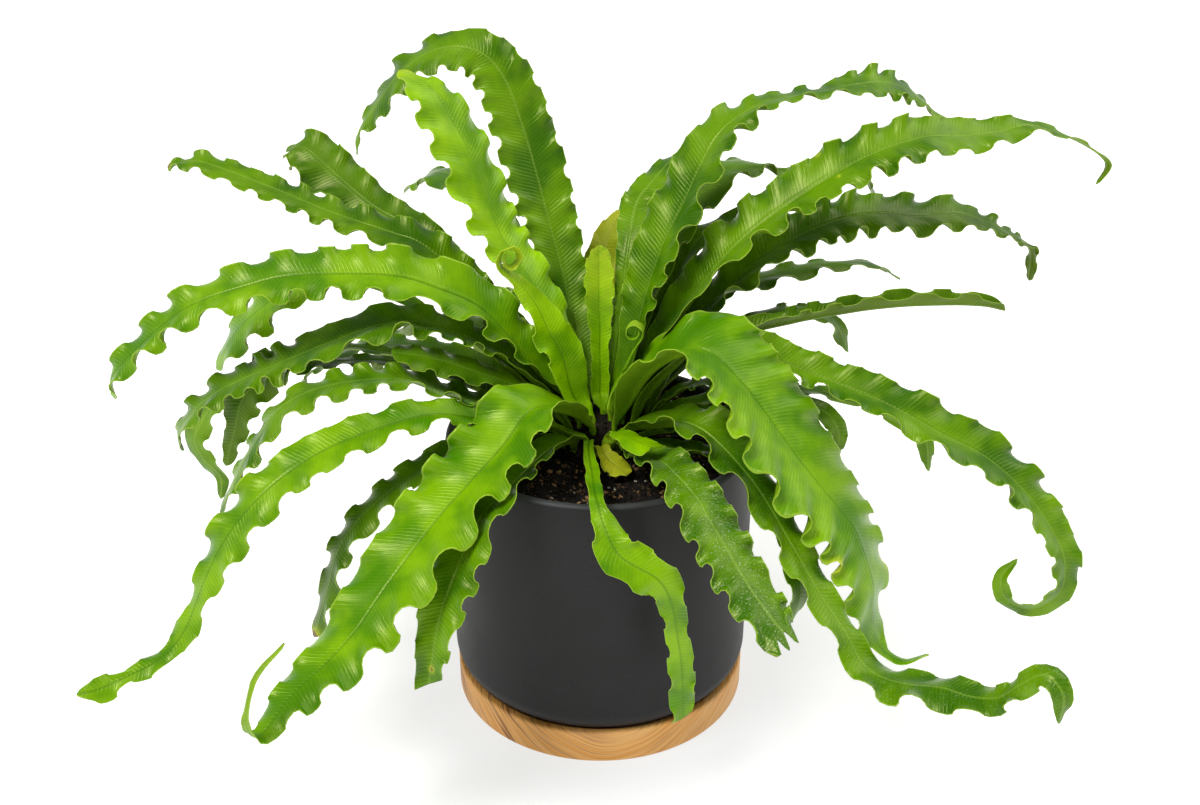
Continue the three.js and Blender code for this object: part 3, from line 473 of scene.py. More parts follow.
SHOULDER_OFF, SHOULDER_WIDTH = 0.95, 0.45  # place and width of the swelling beside it
STALK_UPPER, STALK_LOWER = 1.35, 1.5  # how thick the bending stem is above and below
STALK_SHARE = 0.07  # share of the length over which the stem turns into the blade
FOOT_THICKNESS = 1.4  # half thickness of the straight stem in its hole
FOOT_HEIGHTS = (-6.0, -3.0, -0.5)  # its rows, about the top of the straight stem
PATH_DIVISIONS = 400  # steps in which a rib's length is measured
VEIN_SPACING = 2.0  # drawn coarser than the real 1.2 mm, so that the veins show

ROUND_STEPS = 256  # facets round the saucer and the pot
RECESS_EDGE = 0.4  # rounding of the edge of the saucer's seat
SOIL_STEPS, SOIL_RINGS = 300, 60  # facets round the soil, and rings over its top
ROOTSTOCK_STEPS = 96  # facets round it
SCALE_COUNT = 420  # scales on the rootstock
SCALES_FROM = 4  # distance from the axis where they begin
SOIL_MOUND = 2  # rise of the soil towards the crown
MOUND_FROM = 78  # distance from the axis where it begins
CRUMB_WAVES = ((1.6, 9, 3), (1.3, 3.5, 5), (0.9, 1.7, 9))  # height, breadth and seed
CRUMB_LEVEL = 1.9  # about their mean height, taken off again
CRUMBS_PER_GRIT = 36  # bits of bark for each bit of grit

# Fixed tones, as hex sRGB numbers. A pair in brackets goes from dark to light.
# Painted glow: the pale tone painted along the leaf margin
PAINTED_MARGIN_GLOW = 0xB4D24A
LEAF_AGED = 0xC0CC2C
LEAF_DRIED = (0x3A2412, 0x9A7A42)
LEAF_CRUST = 0xC9D3B0
# The last of the glaze tones is the painted highlight on the pot's lip
GLAZE_CLOUD, GLAZE_GRAIN, PAINTED_LIP_HIGHLIGHT = 0x28282A, 0x37373A, 0x545656
WOOD_LIGHT, WOOD_PORES = 0xF0BC74, 0xA06A30
SOIL_LIGHT = 0x1E140D
BARK_TONES, GRIT_TONES = (0x110A06, 0xB88C5E), (0xB9B2A4, 0xECE8DC)
ROOTSTOCK_TONES, SCALE_TONES = (0x0E0906, 0x2C1E12), (0x0E0906, 0x33251A)
# Painted shade: the darker floor tone about the saucer
PAINTED_FLOOR_SHADE = 0x646668

# The camera, as it was fitted to the pot's rim and the saucer's edge. Its place is in metres, its
# tilt in radians, and its lens and sensor in millimetres.
CAMERA_PLACE = (0, -0.618, 0.479)
CAMERA_TILT = 0.4593  # below the horizon
CAMERA_LENS, SENSOR_WIDTH = 39.018, 36
FLOOR_REACH = 9000  # millimetres from the axis to its edges
# Between these distances the floor's painted shade and painted glow fade out
FLOOR_NEAR, FLOOR_FAR = 0.085, 0.17  # metres from the axis between which its shade fades
# Name, direction of the light, strength and spread in degrees.
SUNS = (("key_sun", (0.45, 0.35, -0.9), 2.6, 24), ("fill_sun", (-0.55, -0.15, -0.8), 1.5, 50))


# ---------------------------------------------------------------------------------------------
# Shared helpers
# ---------------------------------------------------------------------------------------------
def linear(colour):
    """A hex sRGB number as linear red, green, blue and a full alpha."""
    parts = [((colour >> shift) & 255) / 255 for shift in (16, 8, 0)]
    return [p / 12.92 if p <= 0.04045 else ((p + 0.055) / 1.055) ** 2.4 for p in parts] + [1.0]


def smoothstep(low, high, value):
    """0 below low, 1 above high, and 3t^2 - 2t^3 between them, or falling where low is above."""
    t = np.clip((value - low) / (high - low), 0, 1)
    return t * t * (3 - 2 * t)


def draw(number, seed):
    """A repeatable draw between 0 and 1: the fraction of a large sine."""
    value = np.sin(number * 12.9898 + seed * 78.233) * 43758.5453
    return value - np.floor(value)


def ripple(values, seed, waves=(1, 2, 3, 5)):
    """Smooth noise about 0 along a share from 0 to 1: a sum of sines with drawn phases."""
    total = np.zeros_like(values)
    for i, count in enumerate(waves):
        total = total + 0.6 / (i + 1) * np.sin(TURN * (count * values + draw(i + 7, seed)))
    return total


def lumps(x, y, size, seed):
    """Smooth noise from 0 to 1 on a plane: draws on a square lattice, blended between corners."""
    u, v = x / size, y / size
    i, j = np.floor(u), np.floor(v)
    a, b = smoothstep(0, 1, u - i), smoothstep(0, 1, v - j)
    corner = [draw(i + m + 57 * (j + n), seed) for n in (0, 1) for m in (0, 1)]
    low = corner[0] * (1 - a) + corner[1] * a
    high = corner[2] * (1 - a) + corner[3] * a
    return low * (1 - b) + high * b


def mesh_object(name, points, faces, material, attributes=None):
    """A smooth mesh in metres from points in millimetres and blocks of like-sided faces."""
    mesh = bpy.data.meshes.new(name)
    mesh.vertices.add(len(points))
    mesh.vertices.foreach_set("co", (np.asarray(points) * MM).astype(np.float32).ravel())
    corners = np.concatenate([block.ravel() for block in faces])
    sides = np.concatenate([np.full(len(block), block.shape[1]) for block in faces])
    mesh.loops.add(len(corners))
    mesh.loops.foreach_set("vertex_index", corners.astype(np.int32))
    mesh.polygons.add(len(sides))
    starts = np.concatenate([[0], np.cumsum(sides)[:-1]])
    mesh.polygons.foreach_set("loop_start", starts.astype(np.int32))
    mesh.update(calc_edges=True)
    for key, values in (attributes or {}).items():
        kind, field = ("FLOAT_VECTOR", "vector") if values.ndim == 2 else ("FLOAT", "value")
        layer = mesh.attributes.new(key, kind, "POINT")
        layer.data.foreach_set(field, values.astype(np.float32).ravel())
    mesh.polygons.foreach_set("use_smooth", np.ones(len(sides), bool))
    mesh.materials.append(material)
    made = bpy.data.objects.new(name, mesh)
    bpy.context.scene.collection.objects.link(made)
    return made


def settle(piece, slot, *nodes):
    """Rides a finished piece on the body, in place of its solids. The finish slot is not used."""
    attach(piece, BODY)
    if nodes:
        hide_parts(*nodes)


def grid_faces(rows, columns, wrap=False):
    """Quads between neighbouring rows and columns of a grid of points, closed if wrap is set."""
    across = columns if wrap else columns - 1
    i, j = np.meshgrid(np.arange(rows - 1), np.arange(across), indexing="ij")
    after = (j + 1) % columns
    row, above = i * columns, (i + 1) * columns
    return np.stack([row + j, above + j, above + after, row + after], axis=-1).reshape(-1, 4)


def turned(profile, steps, waver=None):
    """Points and faces of a (radius, height) profile carried round Z, both ends on the axis.

    The profile runs outwards along the bottom, up the side and inwards over the top.
    """
    profile = np.asarray(profile, float)
    angle = np.arange(steps) * TURN / steps
    ring = profile[1:-1]
    radius = np.repeat(ring[:, :1], steps, axis=1)
    height = np.repeat(ring[:, 1:], steps, axis=1)
    if waver is not None:
        radius, height = waver(radius, height, angle[None, :])
    points = np.stack([radius * np.cos(angle), radius * np.sin(angle), height], axis=-1)
    ends = np.array([[0, 0, profile[0, 1]], [0, 0, profile[-1, 1]]])
    rows = len(ring)
    here = np.arange(steps)
    after = (here + 1) % steps
    top = (rows - 1) * steps
    first = np.full(steps, rows * steps)
    bottom_fan = np.stack([first, after, here], axis=-1)
    top_fan = np.stack([first + 1, top + here, top + after], axis=-1)
    sides = grid_faces(rows, steps, wrap=True)[:, ::-1]
    return np.concatenate([points.reshape(-1, 3), ends]), [sides, bottom_fan, top_fan]


def arc(centre, middle, radius, start, end, steps):
    """Profile points on a circle from one angle in degrees to another, both included."""
    angle = np.radians(np.linspace(start, end, steps + 1))
    return np.stack([centre + radius * np.cos(angle), middle + radius * np.sin(angle)], axis=-1)


def joined(*runs):
    """One profile from points and runs of points."""
    return np.concatenate([np.atleast_2d(np.asarray(run, float)) for run in runs])


def strewn(shape, faces, places, forward, spin, scales):
    """Copies of a small shape: each is scaled, spun about its own Z, its Z turned to a forward
    direction, and moved to its place."""
    ahead = unit(forward)
    helper = np.where(np.abs(ahead[:, 2:]) > 0.9, [[1.0, 0, 0]], [[0, 0, 1.0]])
    first = unit(np.cross(helper, ahead))
    second = np.cross(ahead, first)
    cos, sin = np.cos(spin)[:, None], np.sin(spin)[:, None]
    axes = np.stack([first * cos + second * sin, second * cos - first * sin, ahead], axis=1)
    points = np.einsum("nvk,nkd->nvd", shape[None] * scales[:, None], axes) + places[:, None]
    first_corner = len(shape) * np.arange(len(places))[:, None, None]
    blocks = [(block[None] + first_corner).reshape(-1, block.shape[1]) for block in faces]
    return points.reshape(-1, 3), blocks


# ---------------------------------------------------------------------------------------------
# Materials
# ---------------------------------------------------------------------------------------------
def add(tree, kind, inputs=None, **settings):
    """Adds a node with its settings, and sets or links each input named or numbered."""
    made = tree.nodes.new(kind)
    for key, value in settings.items():
        setattr(made, key, value)
    for key, value in (inputs or {}).items():
        if isinstance(value, bpy.types.NodeSocket):
            tree.links.new(value, made.inputs[key])
        else:
            made.inputs[key].default_value = value
    return made


def new_material(name):
    """An empty material and the tree to fill."""
    made = bpy.data.materials.new(name)
    made.use_nodes = True
    made.node_tree.nodes.clear()
    return made, made.node_tree


def maths(tree, operation, *values, clamp=False):
    """The result of a Math node on sockets or numbers."""
    inputs = dict(enumerate(values))
    return add(tree, "ShaderNodeMath", inputs, operation=operation, use_clamp=clamp).outputs[0]


def mixed(tree, factor, first, second):
    """A colour between two others; 6 and 7 are the Mix node's colour inputs."""
    inputs = {0: factor, 6: first, 7: second}
    return add(tree, "ShaderNodeMix", inputs, data_type="RGBA").outputs[2]


def ranged(tree, value, low, high, start=0.0, end=1.0):
    """A value carried smoothly from one range to another, kept inside it."""
    inputs = {"Value": value, "From Min": low, "From Max": high, "To Min": start, "To Max": end}
    return add(tree, "ShaderNodeMapRange", inputs, interpolation_type="SMOOTHSTEP").outputs[0]


def noise(tree, vector, size, detail=2.0, roughness=0.5):
    """Noise whose cells are about the given size in metres."""
    inputs = {"Vector": vector, "Scale": 1 / size, "Detail": detail, "Roughness": roughness}
    return add(tree, "ShaderNodeTexNoise", inputs).outputs["Fac"]


def finish_material(tree, colour, roughness, height, depth, **sockets):
    """A Principled surface with a bump of the given depth in metres."""
    bump = add(tree, "ShaderNodeBump", {"Height": height, "Distance": depth, "Strength": 1.0})
    inputs = {"Base Color": colour, "Roughness": roughness, "Normal": bump.outputs["Normal"]}
    inputs.update({key.replace("_", " "): value for key, value in sockets.items()})
    shader = add(tree, "ShaderNodeBsdfPrincipled", inputs)
    add(tree, "ShaderNodeOutputMaterial", {"Surface": shader.outputs[0]})


def leaf_material(name, deep, light, under, roughness, rib_colour, rib_strength):
    """Living fern leaf: a waxy skin over pulp with close side veins.

    The wax gives a broad soft gloss, the veins a fine parallel relief and the rib a thin line. The
    crests of the waves are painted lighter, a painted highlight, and the thin margin is painted
    paler, a painted glow that stands in for light coming through it.
    """
    made, tree = new_material(name)
    where = add(tree, "ShaderNodeTexCoord").outputs["Object"]
    spot = add(tree, "ShaderNodeAttribute", attribute_name="leaf_place").outputs["Vector"]
    marks = add(tree, "ShaderNodeAttribute", attribute_name="leaf_marks").outputs["Vector"]
    below = add(tree, "ShaderNodeAttribute", attribute_name="leaf_under").outputs["Fac"]
    crest = add(tree, "ShaderNodeAttribute", attribute_name="painted_crest_highlight").outputs["Fac"]
    across, along, share = add(tree, "ShaderNodeSeparateXYZ", {0: spot}).outputs
    yellow, brown, specks = add(tree, "ShaderNodeSeparateXYZ", {0: marks}).outputs
    off = maths(tree, "ABSOLUTE", across)
    broad = noise(tree, where, 0.03, 3.0, 0.55)
    fine = noise(tree, where, 0.0035, 3.0, 0.6)
    sway = maths(tree, "MULTIPLY_ADD", noise(tree, where, 0.012), 2.4, along)
    slant = maths(tree, "MULTIPLY_ADD", off, -SLANT, sway)
    phase = maths(tree, "MULTIPLY", slant, TURN / VEIN_SPACING)
    vein = ranged(tree, maths(tree, "SINE", phase), 0.0, 1.0)
    green = mixed(tree, ranged(tree, broad, 0.35, 0.65), deep, light)
    # Painted highlight: the crests of the waves are painted up to half way towards the light green
    green = mixed(tree, ranged(tree, crest, -0.2, 1.0, 0.0, 0.5), green, light)
    green = mixed(tree, maths(tree, "MULTIPLY", vein, 0.13), green, light)
    green = mixed(tree, maths(tree, "MULTIPLY", fine, 0.25), green, deep)
    line = maths(tree, "MULTIPLY", ranged(tree, off, 0.8, 0.35), rib_strength)
    green = mixed(tree, line, green, rib_colour)
    # Painted glow: the outermost sliver of the half width, at the margin, is painted paler,
    # standing in for light coming through the thin edge
    glow = maths(tree, "MULTIPLY", ranged(tree, share, 0.955, 0.995), 0.45)
    green = mixed(tree, glow, green, linear(PAINTED_MARGIN_GLOW))
    green = mixed(tree, maths(tree, "MULTIPLY", below, 0.5), green, under)
    aged = maths(tree, "MULTIPLY", yellow, ranged(tree, fine, 0.2, 0.55), clamp=True)
    green = mixed(tree, aged, green, linear(LEAF_AGED))
    dried = ranged(tree, maths(tree, "MULTIPLY", brown, maths(tree, "ADD", fine, 0.6)), 0.25, 0.7)
    rust = mixed(tree, fine, *map(linear, LEAF_DRIED))
    green = mixed(tree, dried, green, rust)
    dots = ranged(tree, noise(tree, where, 0.0008, 1.0), 0.6, 0.7)
    green = mixed(tree, maths(tree, "MULTIPLY", dots, specks), green, linear(LEAF_CRUST))
    gloss = maths(tree, "MULTIPLY_ADD", broad, 0.12, roughness)
    gloss = maths(tree, "MULTIPLY_ADD", below, 0.14, gloss)
    relief = maths(tree, "MULTIPLY_ADD", fine, 0.25, maths(tree, "MULTIPLY", vein, 0.4))
    finish_material(tree, green, gloss, relief, 0.0002, IOR=1.4, Specular_IOR_Level=0.6,
                    Specular_Tint=(1.0, 1.0, 0.4, 1.0))
    return made


# Name, deep and light green, underside, roughness, rib colour and how strongly the rib shows.
LEAF_FINISHES = {
    "frond_mature": ("living leaf mature", 0x2F6000, 0x669200, 0x6E8A14, 0.26, 0x86A83C, 0.35),
    "frond_fresh": ("living leaf fresh", 0x427A00, 0x7EAC00, 0x84A21E, 0.26, 0x3A6A06, 0.4),
    "frond_young": ("living leaf young", 0x5C9200, 0x98C800, 0xA4BE2E, 0.26, 0x5C9410, 0.4),
    # frond_shaded is a darker copy of the leaf for the fronds that sit in shade inside the plant:
    # painted shade
    "frond_shaded": ("living leaf painted shade", 0x305A00, 0x588200, 0x607814, 0.28, 0x6E9434, 0.35),
    "frond_yellowing": ("living leaf yellowing", 0x8C9A10, 0xBEBE28, 0xBABC4A, 0.42, 0x8F9A30, 0.5),
}


def leaf_finish(slot):
    """The leaf material of a finish slot, made when it is first asked for."""
    name, deep, light, under, roughness, rib, strength = LEAF_FINISHES[slot]
    if name in bpy.data.materials:
        return bpy.data.materials[name]
    colours = linear(deep), linear(light), linear(under)
    return leaf_material(name, *colours, roughness, linear(rib), strength)


def stoneware(colour, rim):
    """Matte charcoal stoneware: pressed clay under a dry glaze.

    The glaze gives an even dark face with a fine grain and a soft sheen towards the sides. The
    lip, which is at the rim's height in metres, is painted paler: a painted highlight.
    """
    made, tree = new_material("matte charcoal stoneware")
    where = add(tree, "ShaderNodeTexCoord").outputs["Object"]
    grain = noise(tree, where, 0.0007, 2.0, 0.6)
    cloud = noise(tree, where, 0.03, 2.0)
    tone = mixed(tree, ranged(tree, cloud, 0.3, 0.7, 0.0, 0.35), colour, linear(GLAZE_CLOUD))
    tone = mixed(tree, ranged(tree, grain, 0.55, 0.75, 0.0, 0.3), tone, linear(GLAZE_GRAIN))
    up = add(tree, "ShaderNodeSeparateXYZ", {0: where}).outputs[2]
    # Painted highlight: the lip is painted paler than the glaze
    lip = ranged(tree, up, rim - 0.0022, rim - 0.0008, 0.0, 0.4)
    tone = mixed(tree, lip, tone, linear(PAINTED_LIP_HIGHLIGHT))
    gloss = ranged(tree, cloud, 0.3, 0.7, 0.46, 0.54)
    finish_material(tree, tone, gloss, grain, 0.00006, IOR=1.5, Specular_IOR_Level=0.2)
    return made


def oiled_wood(colour, streak):
    """Oiled olive wood, sawn across a curved grain, turned and sanded.

    Growth lines bend down towards the front, few of them dark, with fine pores along them.
    """
    made, tree = new_material("oiled olive wood")
    where = add(tree, "ShaderNodeTexCoord").outputs["Object"]
    x, y, z = add(tree, "ShaderNodeSeparateXYZ", {0: where}).outputs
    warp = noise(tree, where, 0.05, 2.0, 0.5)
    bend = maths(tree, "ADD", x, -0.005)
    bowl = maths(tree, "MULTIPLY", maths(tree, "MULTIPLY", bend, bend), 11.0)
    depth = maths(tree, "SUBTRACT", maths(tree, "MULTIPLY_ADD", y, 0.12, z), bowl)
    depth = maths(tree, "MULTIPLY_ADD", warp, 0.01, depth)
    length = maths(tree, "MULTIPLY", y, 0.08)
    line = add(tree, "ShaderNodeCombineXYZ", {0: depth, 1: length}).outputs[0]
    rings = noise(tree, line, 0.0035, 2.0, 0.6)
    fine = noise(tree, line, 0.0009, 2.0, 0.6)
    patch = noise(tree, where, 0.045, 1.0)
    tone = mixed(tree, ranged(tree, rings, 0.3, 0.7), colour, linear(WOOD_LIGHT))
    tone = mixed(tree, ranged(tree, fine, 0.45, 0.7, 0.0, 0.5), tone, linear(WOOD_PORES))
    left = ranged(tree, x, 0.015, -0.03, 0.15, 1.0)
    dark = maths(tree, "MULTIPLY", ranged(tree, rings, 0.5, 0.58), left)
    dark = maths(tree, "MULTIPLY", dark, ranged(tree, patch, 0.35, 0.6, 0.5, 1.0))
    tone = mixed(tree, dark, tone, streak)
    finish_material(tree, tone, 0.5, fine, 0.00012, IOR=1.45)
    return made


def damp_crumbs(name, dark, light):
    """Potting mix of peat, bark and grit, or a trunk matted with old fibres: damp and crumbly, so
    that it drinks the light and shows only a coarse mottle."""
    made, tree = new_material(name)
    where = add(tree, "ShaderNodeTexCoord").outputs["Object"]
    coarse = noise(tree, where, 0.004, 3.0, 0.6)
    fine = noise(tree, where, 0.0009, 3.0, 0.6)
    tone = mixed(tree, ranged(tree, coarse, 0.4, 0.75), dark, light)
    tone = mixed(tree, ranged(tree, fine, 0.5, 0.8, 0.0, 0.6), tone, light)
    finish_material(tree, tone, 0.9, fine, 0.0006, Specular_IOR_Level=0.25)
    return made


def chip_material(name, tones, roughness):
    """Bark, scale or grit: each bit has its own tone from a draw kept in the mesh."""
    dark, light = map(linear, tones)
    made, tree = new_material(name)
    where = add(tree, "ShaderNodeTexCoord").outputs["Object"]
    tone = add(tree, "ShaderNodeAttribute", attribute_name="bit_tone").outputs["Fac"]
    fine = noise(tree, where, 0.0008, 2.0, 0.6)
    colour = mixed(tree, tone, dark, light)
    colour = mixed(tree, ranged(tree, fine, 0.4, 0.7, 0.0, 0.5), colour, dark)
    finish_material(tree, colour, roughness, fine, 0.0003, Specular_IOR_Level=0.3)
    return made


# ---------------------------------------------------------------------------------------------
# Frond geometry
# ---------------------------------------------------------------------------------------------
def crown_height(radius):
    """Height of the rootstock's sloping top at a distance from the axis."""
    slope = (CROWN_TOP_Z - CROWN_SHOULDER_Z) / (CROWN_RADIUS - CROWN_TOP_RADIUS)
    return CROWN_TOP_Z - slope * np.maximum(radius - CROWN_TOP_RADIUS, 0)


def seats_of(rows, radius):
    """Where a tier's stems stand: between even places round the ring and their own azimuths."""
    spacing = 360 / len(rows)
    turn = sum(row["azimuth"] - i * spacing for i, row in enumerate(rows)) / len(rows)
    seats = []
    for i, row in enumerate(rows):
        even = turn + i * spacing
        angle = math.radians(even + SEAT_PULL * (row["azimuth"] - even))
        azimuth = math.radians(row["azimuth"])
        seats.append({
            "azimuth": azimuth,
            "reach": radius * math.cos(angle - azimuth),
            "side": radius * math.sin(angle - azimuth),
            "top": crown_height(radius) + STEM_PROUD,
        })
    return seats


def coil_points(rib, turns, outer, inner):
    """Rib points of a crozier's coil: it goes on from the last two points and winds inwards."""
    before, last = rib[-2], rib[-1]
    start = math.atan2(last[1] - before[1], last[0] - before[0])
    count = round(turns * 10)
    step = turns * TURN / count
    i = np.arange(1, count + 1)
    radius = outer + (inner - outer) * i / count
    reach = last[0] + np.cumsum(radius * step * np.cos(start + step * i))
    height = last[1] + np.cumsum(radius * step * np.sin(start + step * i))
    width = last[2] * (1 - 0.6 * i / count)
    rest = np.tile([last[3], last[4]], (count, 1))
    return np.column_stack([reach, height, width, rest])


def rib_points(row, seat):
    """The rib's points as an array of reach, side, height, width and roll, from the seat on."""
    roll = row.get("roll", 0)
    rib = np.array([tuple(point) + (0, roll)[len(point) - 3:] for point in row["rib"]], float)
    if "coil" in row:
        rib = np.concatenate([rib, coil_points(rib, *row["coil"])])
    first = [[seat["reach"], seat["top"], STEM_WIDTH, seat["side"], rib[0, 4]]]
    return np.concatenate([first, rib])[:, [0, 3, 1, 2, 4]]


def curve_at(points, t):
    """A uniform Catmull-Rom curve: between two points, the cubic whose end slopes are half the
    chord across each point, with mirrored points past both ends."""
    ends = 2 * points[[0, -1]] - points[[1, -2]]
    full = np.concatenate([ends[:1], points, ends[1:]])
    last = len(points) - 1
    reached = np.clip(t, 0, 1) * last
    i = np.minimum(np.floor(reached).astype(int), last - 1)
    w = (reached - i)[..., None]
    a, b, c, d = full[i], full[i + 1], full[i + 2], full[i + 3]
    return b + 0.5 * w * (c - a + w * (2 * a - 5 * b + 4 * c - d + w * (3 * b - a - 3 * c + d)))


def along_curve(points):
    """Lengths from the start to even steps of the curve's own parameter, and the steps."""
    t = np.linspace(0, 1, PATH_DIVISIONS + 1)
    steps = np.linalg.norm(np.diff(curve_at(points[:, :3], t), axis=0), axis=1)
    return np.concatenate([[0], np.cumsum(steps)]), t


def uneven(share, seed):
    """Uneven wave lengths: the share plus three slow sines with drawn sizes."""
    total = np.array(share, float)
    for k, size in enumerate((0.035, 0.02, 0.012), start=1):
        total = total + size * (2 * draw(k, seed) - 1) * np.sin(TURN * k * share)
    return total


def unit(vectors):
    """Vectors scaled to length one."""
    return vectors / np.maximum(np.linalg.norm(vectors, axis=-1, keepdims=True), 1e-9)


def cut_back(kind, t):
    """How far a torn or cut tip falls short at each side place from -1 to 1, in millimetres."""
    if kind == "forked":
        prongs = [np.exp(-((t - at) / 0.2) ** 2) for at in (-0.85, -0.25, 0.35)]
        return 10 * (1 - np.maximum.reduce(prongs)) + 3 * t
    if kind == "slant":
        return 9 * (0.5 + 0.5 * t)
    if kind == "notched":
        return 10 * np.exp(-((t - 0.25) / 0.22) ** 2)
    if kind == "square":
        return 1.5 * np.cos(3 * t)
    return 0 * t


def frond_surface(row, seat, seed):
    """The middle surface of a frond as a grid over its length and its width.

    A point goes along the rib curve by its share of the length, then sideways by a share of the
    half width there. Each half rises from the rib by the fold angle and arches a little, and the
    wave lifts it by its size times that share to a power. The waves lean towards the tip, crests
    and troughs spread along the margin by a sine of twice the wave's phase, which makes them
    round, and the crests draw in.
    """
    look = LOOKS.get(row["name"], {})
    points = rib_points(row, seat)
    lengths, steps = along_curve(points)
    total = lengths[-1]
    scallops = look.get("scallops", 1)
    waves = row["waves"] * scallops
    pitch = total / waves
    begin = STEM_BEND / total
    share = np.concatenate([np.zeros(3), np.linspace(0, 1, int(waves * ROWS_PER_SCALLOP) + 1)])
    along = begin + (1 - begin) * uneven(share, seed)
    along[:3] = begin * np.array([0.1, 0.4, 0.7])
    half_columns = np.concatenate([STRIP_COLUMNS, 1 + np.array(BLADE_COLUMNS)])
    column = np.concatenate([-half_columns[:0:-1], half_columns])
    s, c = np.meshgrid(share, column, indexing="ij")
    side = np.sign(c)
    shape = curve_at(points, np.interp(along, lengths / total, steps))
    half_row = np.maximum(shape[:, 3], LEAST_WIDTH) / 2
    wing = look.get("wing", WING) * smoothstep(0.0, 0.05, along) * smoothstep(0.4, 0.12, along)
    half_row = half_row + wing
    if "cut" not in look:
        end = np.clip((along - 1) * total / np.maximum(half_row[-1], 2) + 1, 0, 1)
        half_row = half_row * np.sqrt(np.maximum(1 - end ** 2, 0.02))
    half = half_row[:, None] + 0 * c
    strip = np.minimum(RIB_STRIP, 0.4 * half)
    ramp = smoothstep(0.03, 0.24, s)
    q = (strip * np.minimum(np.abs(c), 1) + (half - strip) * np.maximum(np.abs(c) - 1, 0)) / half
    lean = waves * (1 - q) * half * SLANT / total
    stray = STRAY * ripple(s, seed + 0.71 * side, (2, 3, 5, 7, 11))
    phase = TURN * (waves * s + lean + stray + np.where(side > 0, 0.5, 0))
    slow = TURN * (row["waves"] * s + lean + np.where(side > 0, 0.5, 0) + 0.2)
    crest = 0.5 + 0.5 * np.cos(phase)
    swell = 1 + 0.4 * ripple(s, seed + 0.37 * side, (1, 3, 5, 8))
    strength = 1.1 * look.get("swing", 1) * row["ruffle"] * ramp * swell * (0.9 + 0.3 * s)
    rise = half * strength / scallops ** 0.7 * (crest - 0.45)
    if scallops > 1:
        rise = rise + 0.25 * half * strength * np.cos(slow)
    off = q * half * (1 - look.get("notch", NOTCH) * crest ** 3 * ramp)
    drag = DRAG * pitch * ramp * np.sin(2 * phase) * q ** 3 * smoothstep(1.0, 0.93, s)
    ragged = cut_back(look.get("cut"), side * q) * smoothstep(0.8, 1.0, s)
    reached = np.clip(along[:, None] + (drag - ragged) / total, 0, 1)
    t = np.interp(reached, lengths / total, steps)
    full = curve_at(points, t)
    ahead = unit(curve_at(points[:, :3], t + 1e-4) - curve_at(points[:, :3], t - 1e-4))
    level = unit(np.array([0.0, 1.0, 0.0]) - ahead * ahead[..., 1:2])
    roll = np.radians(full[..., 4]) * smoothstep(0, begin, along)[:, None]
    over = np.cross(ahead, level)
    across = level * np.cos(roll)[..., None] + over * np.sin(roll)[..., None]
    normal = np.cross(ahead, across)
    tip = row.get("fold", FOLD_AT_TIP)
    fold = np.radians(FOLD_AT_BASE + (tip - FOLD_AT_BASE) * np.minimum(1.5 * s, 1))
    arch = ARCH * half * (q - q * q) * ramp
    lift = off * np.sin(fold) + arch + rise * q ** RUFFLE_POWER
    wander = WANDER * ramp * ripple(s, seed + 0.5)
    sideways = side * off * np.cos(fold) + wander
    middle = full[..., :3] + across * sideways[..., None] + normal * lift[..., None]
    return {
        "middle": middle, "share": s, "q": side * q, "off": side * off, "half": half,
        "along": reached * total, "length": total, "look": look,
        # The crests' height, which the leaf material paints lighter as a painted highlight
        "crest": (2 * crest - 1) * q ** 2 * ramp,
    }


def blotch_marks(grid):
    """Yellow, brown and crust at each point: bells about the frond's own blotches."""
    yellow = np.zeros_like(grid["share"])
    brown = np.zeros_like(yellow)
    specks = np.full_like(yellow, grid["look"].get("specks", 0.0))
    for kind, share, side, size in grid["look"].get("blotches", []):
        past = grid["along"] - share * grid["length"]
        near = (past ** 2 + (grid["off"] - side * grid["half"]) ** 2) / size ** 2
        if kind == "brown":
            brown = np.maximum(brown, 1.4 * np.exp(-near))
            yellow = np.maximum(yellow, np.exp(-near / 3))
        elif kind == "tip":
            yellow = np.maximum(yellow, 0.5 * smoothstep(-size, size, past))
        else:
            yellow = np.maximum(yellow, np.exp(-near))
    return yellow, brown, specks


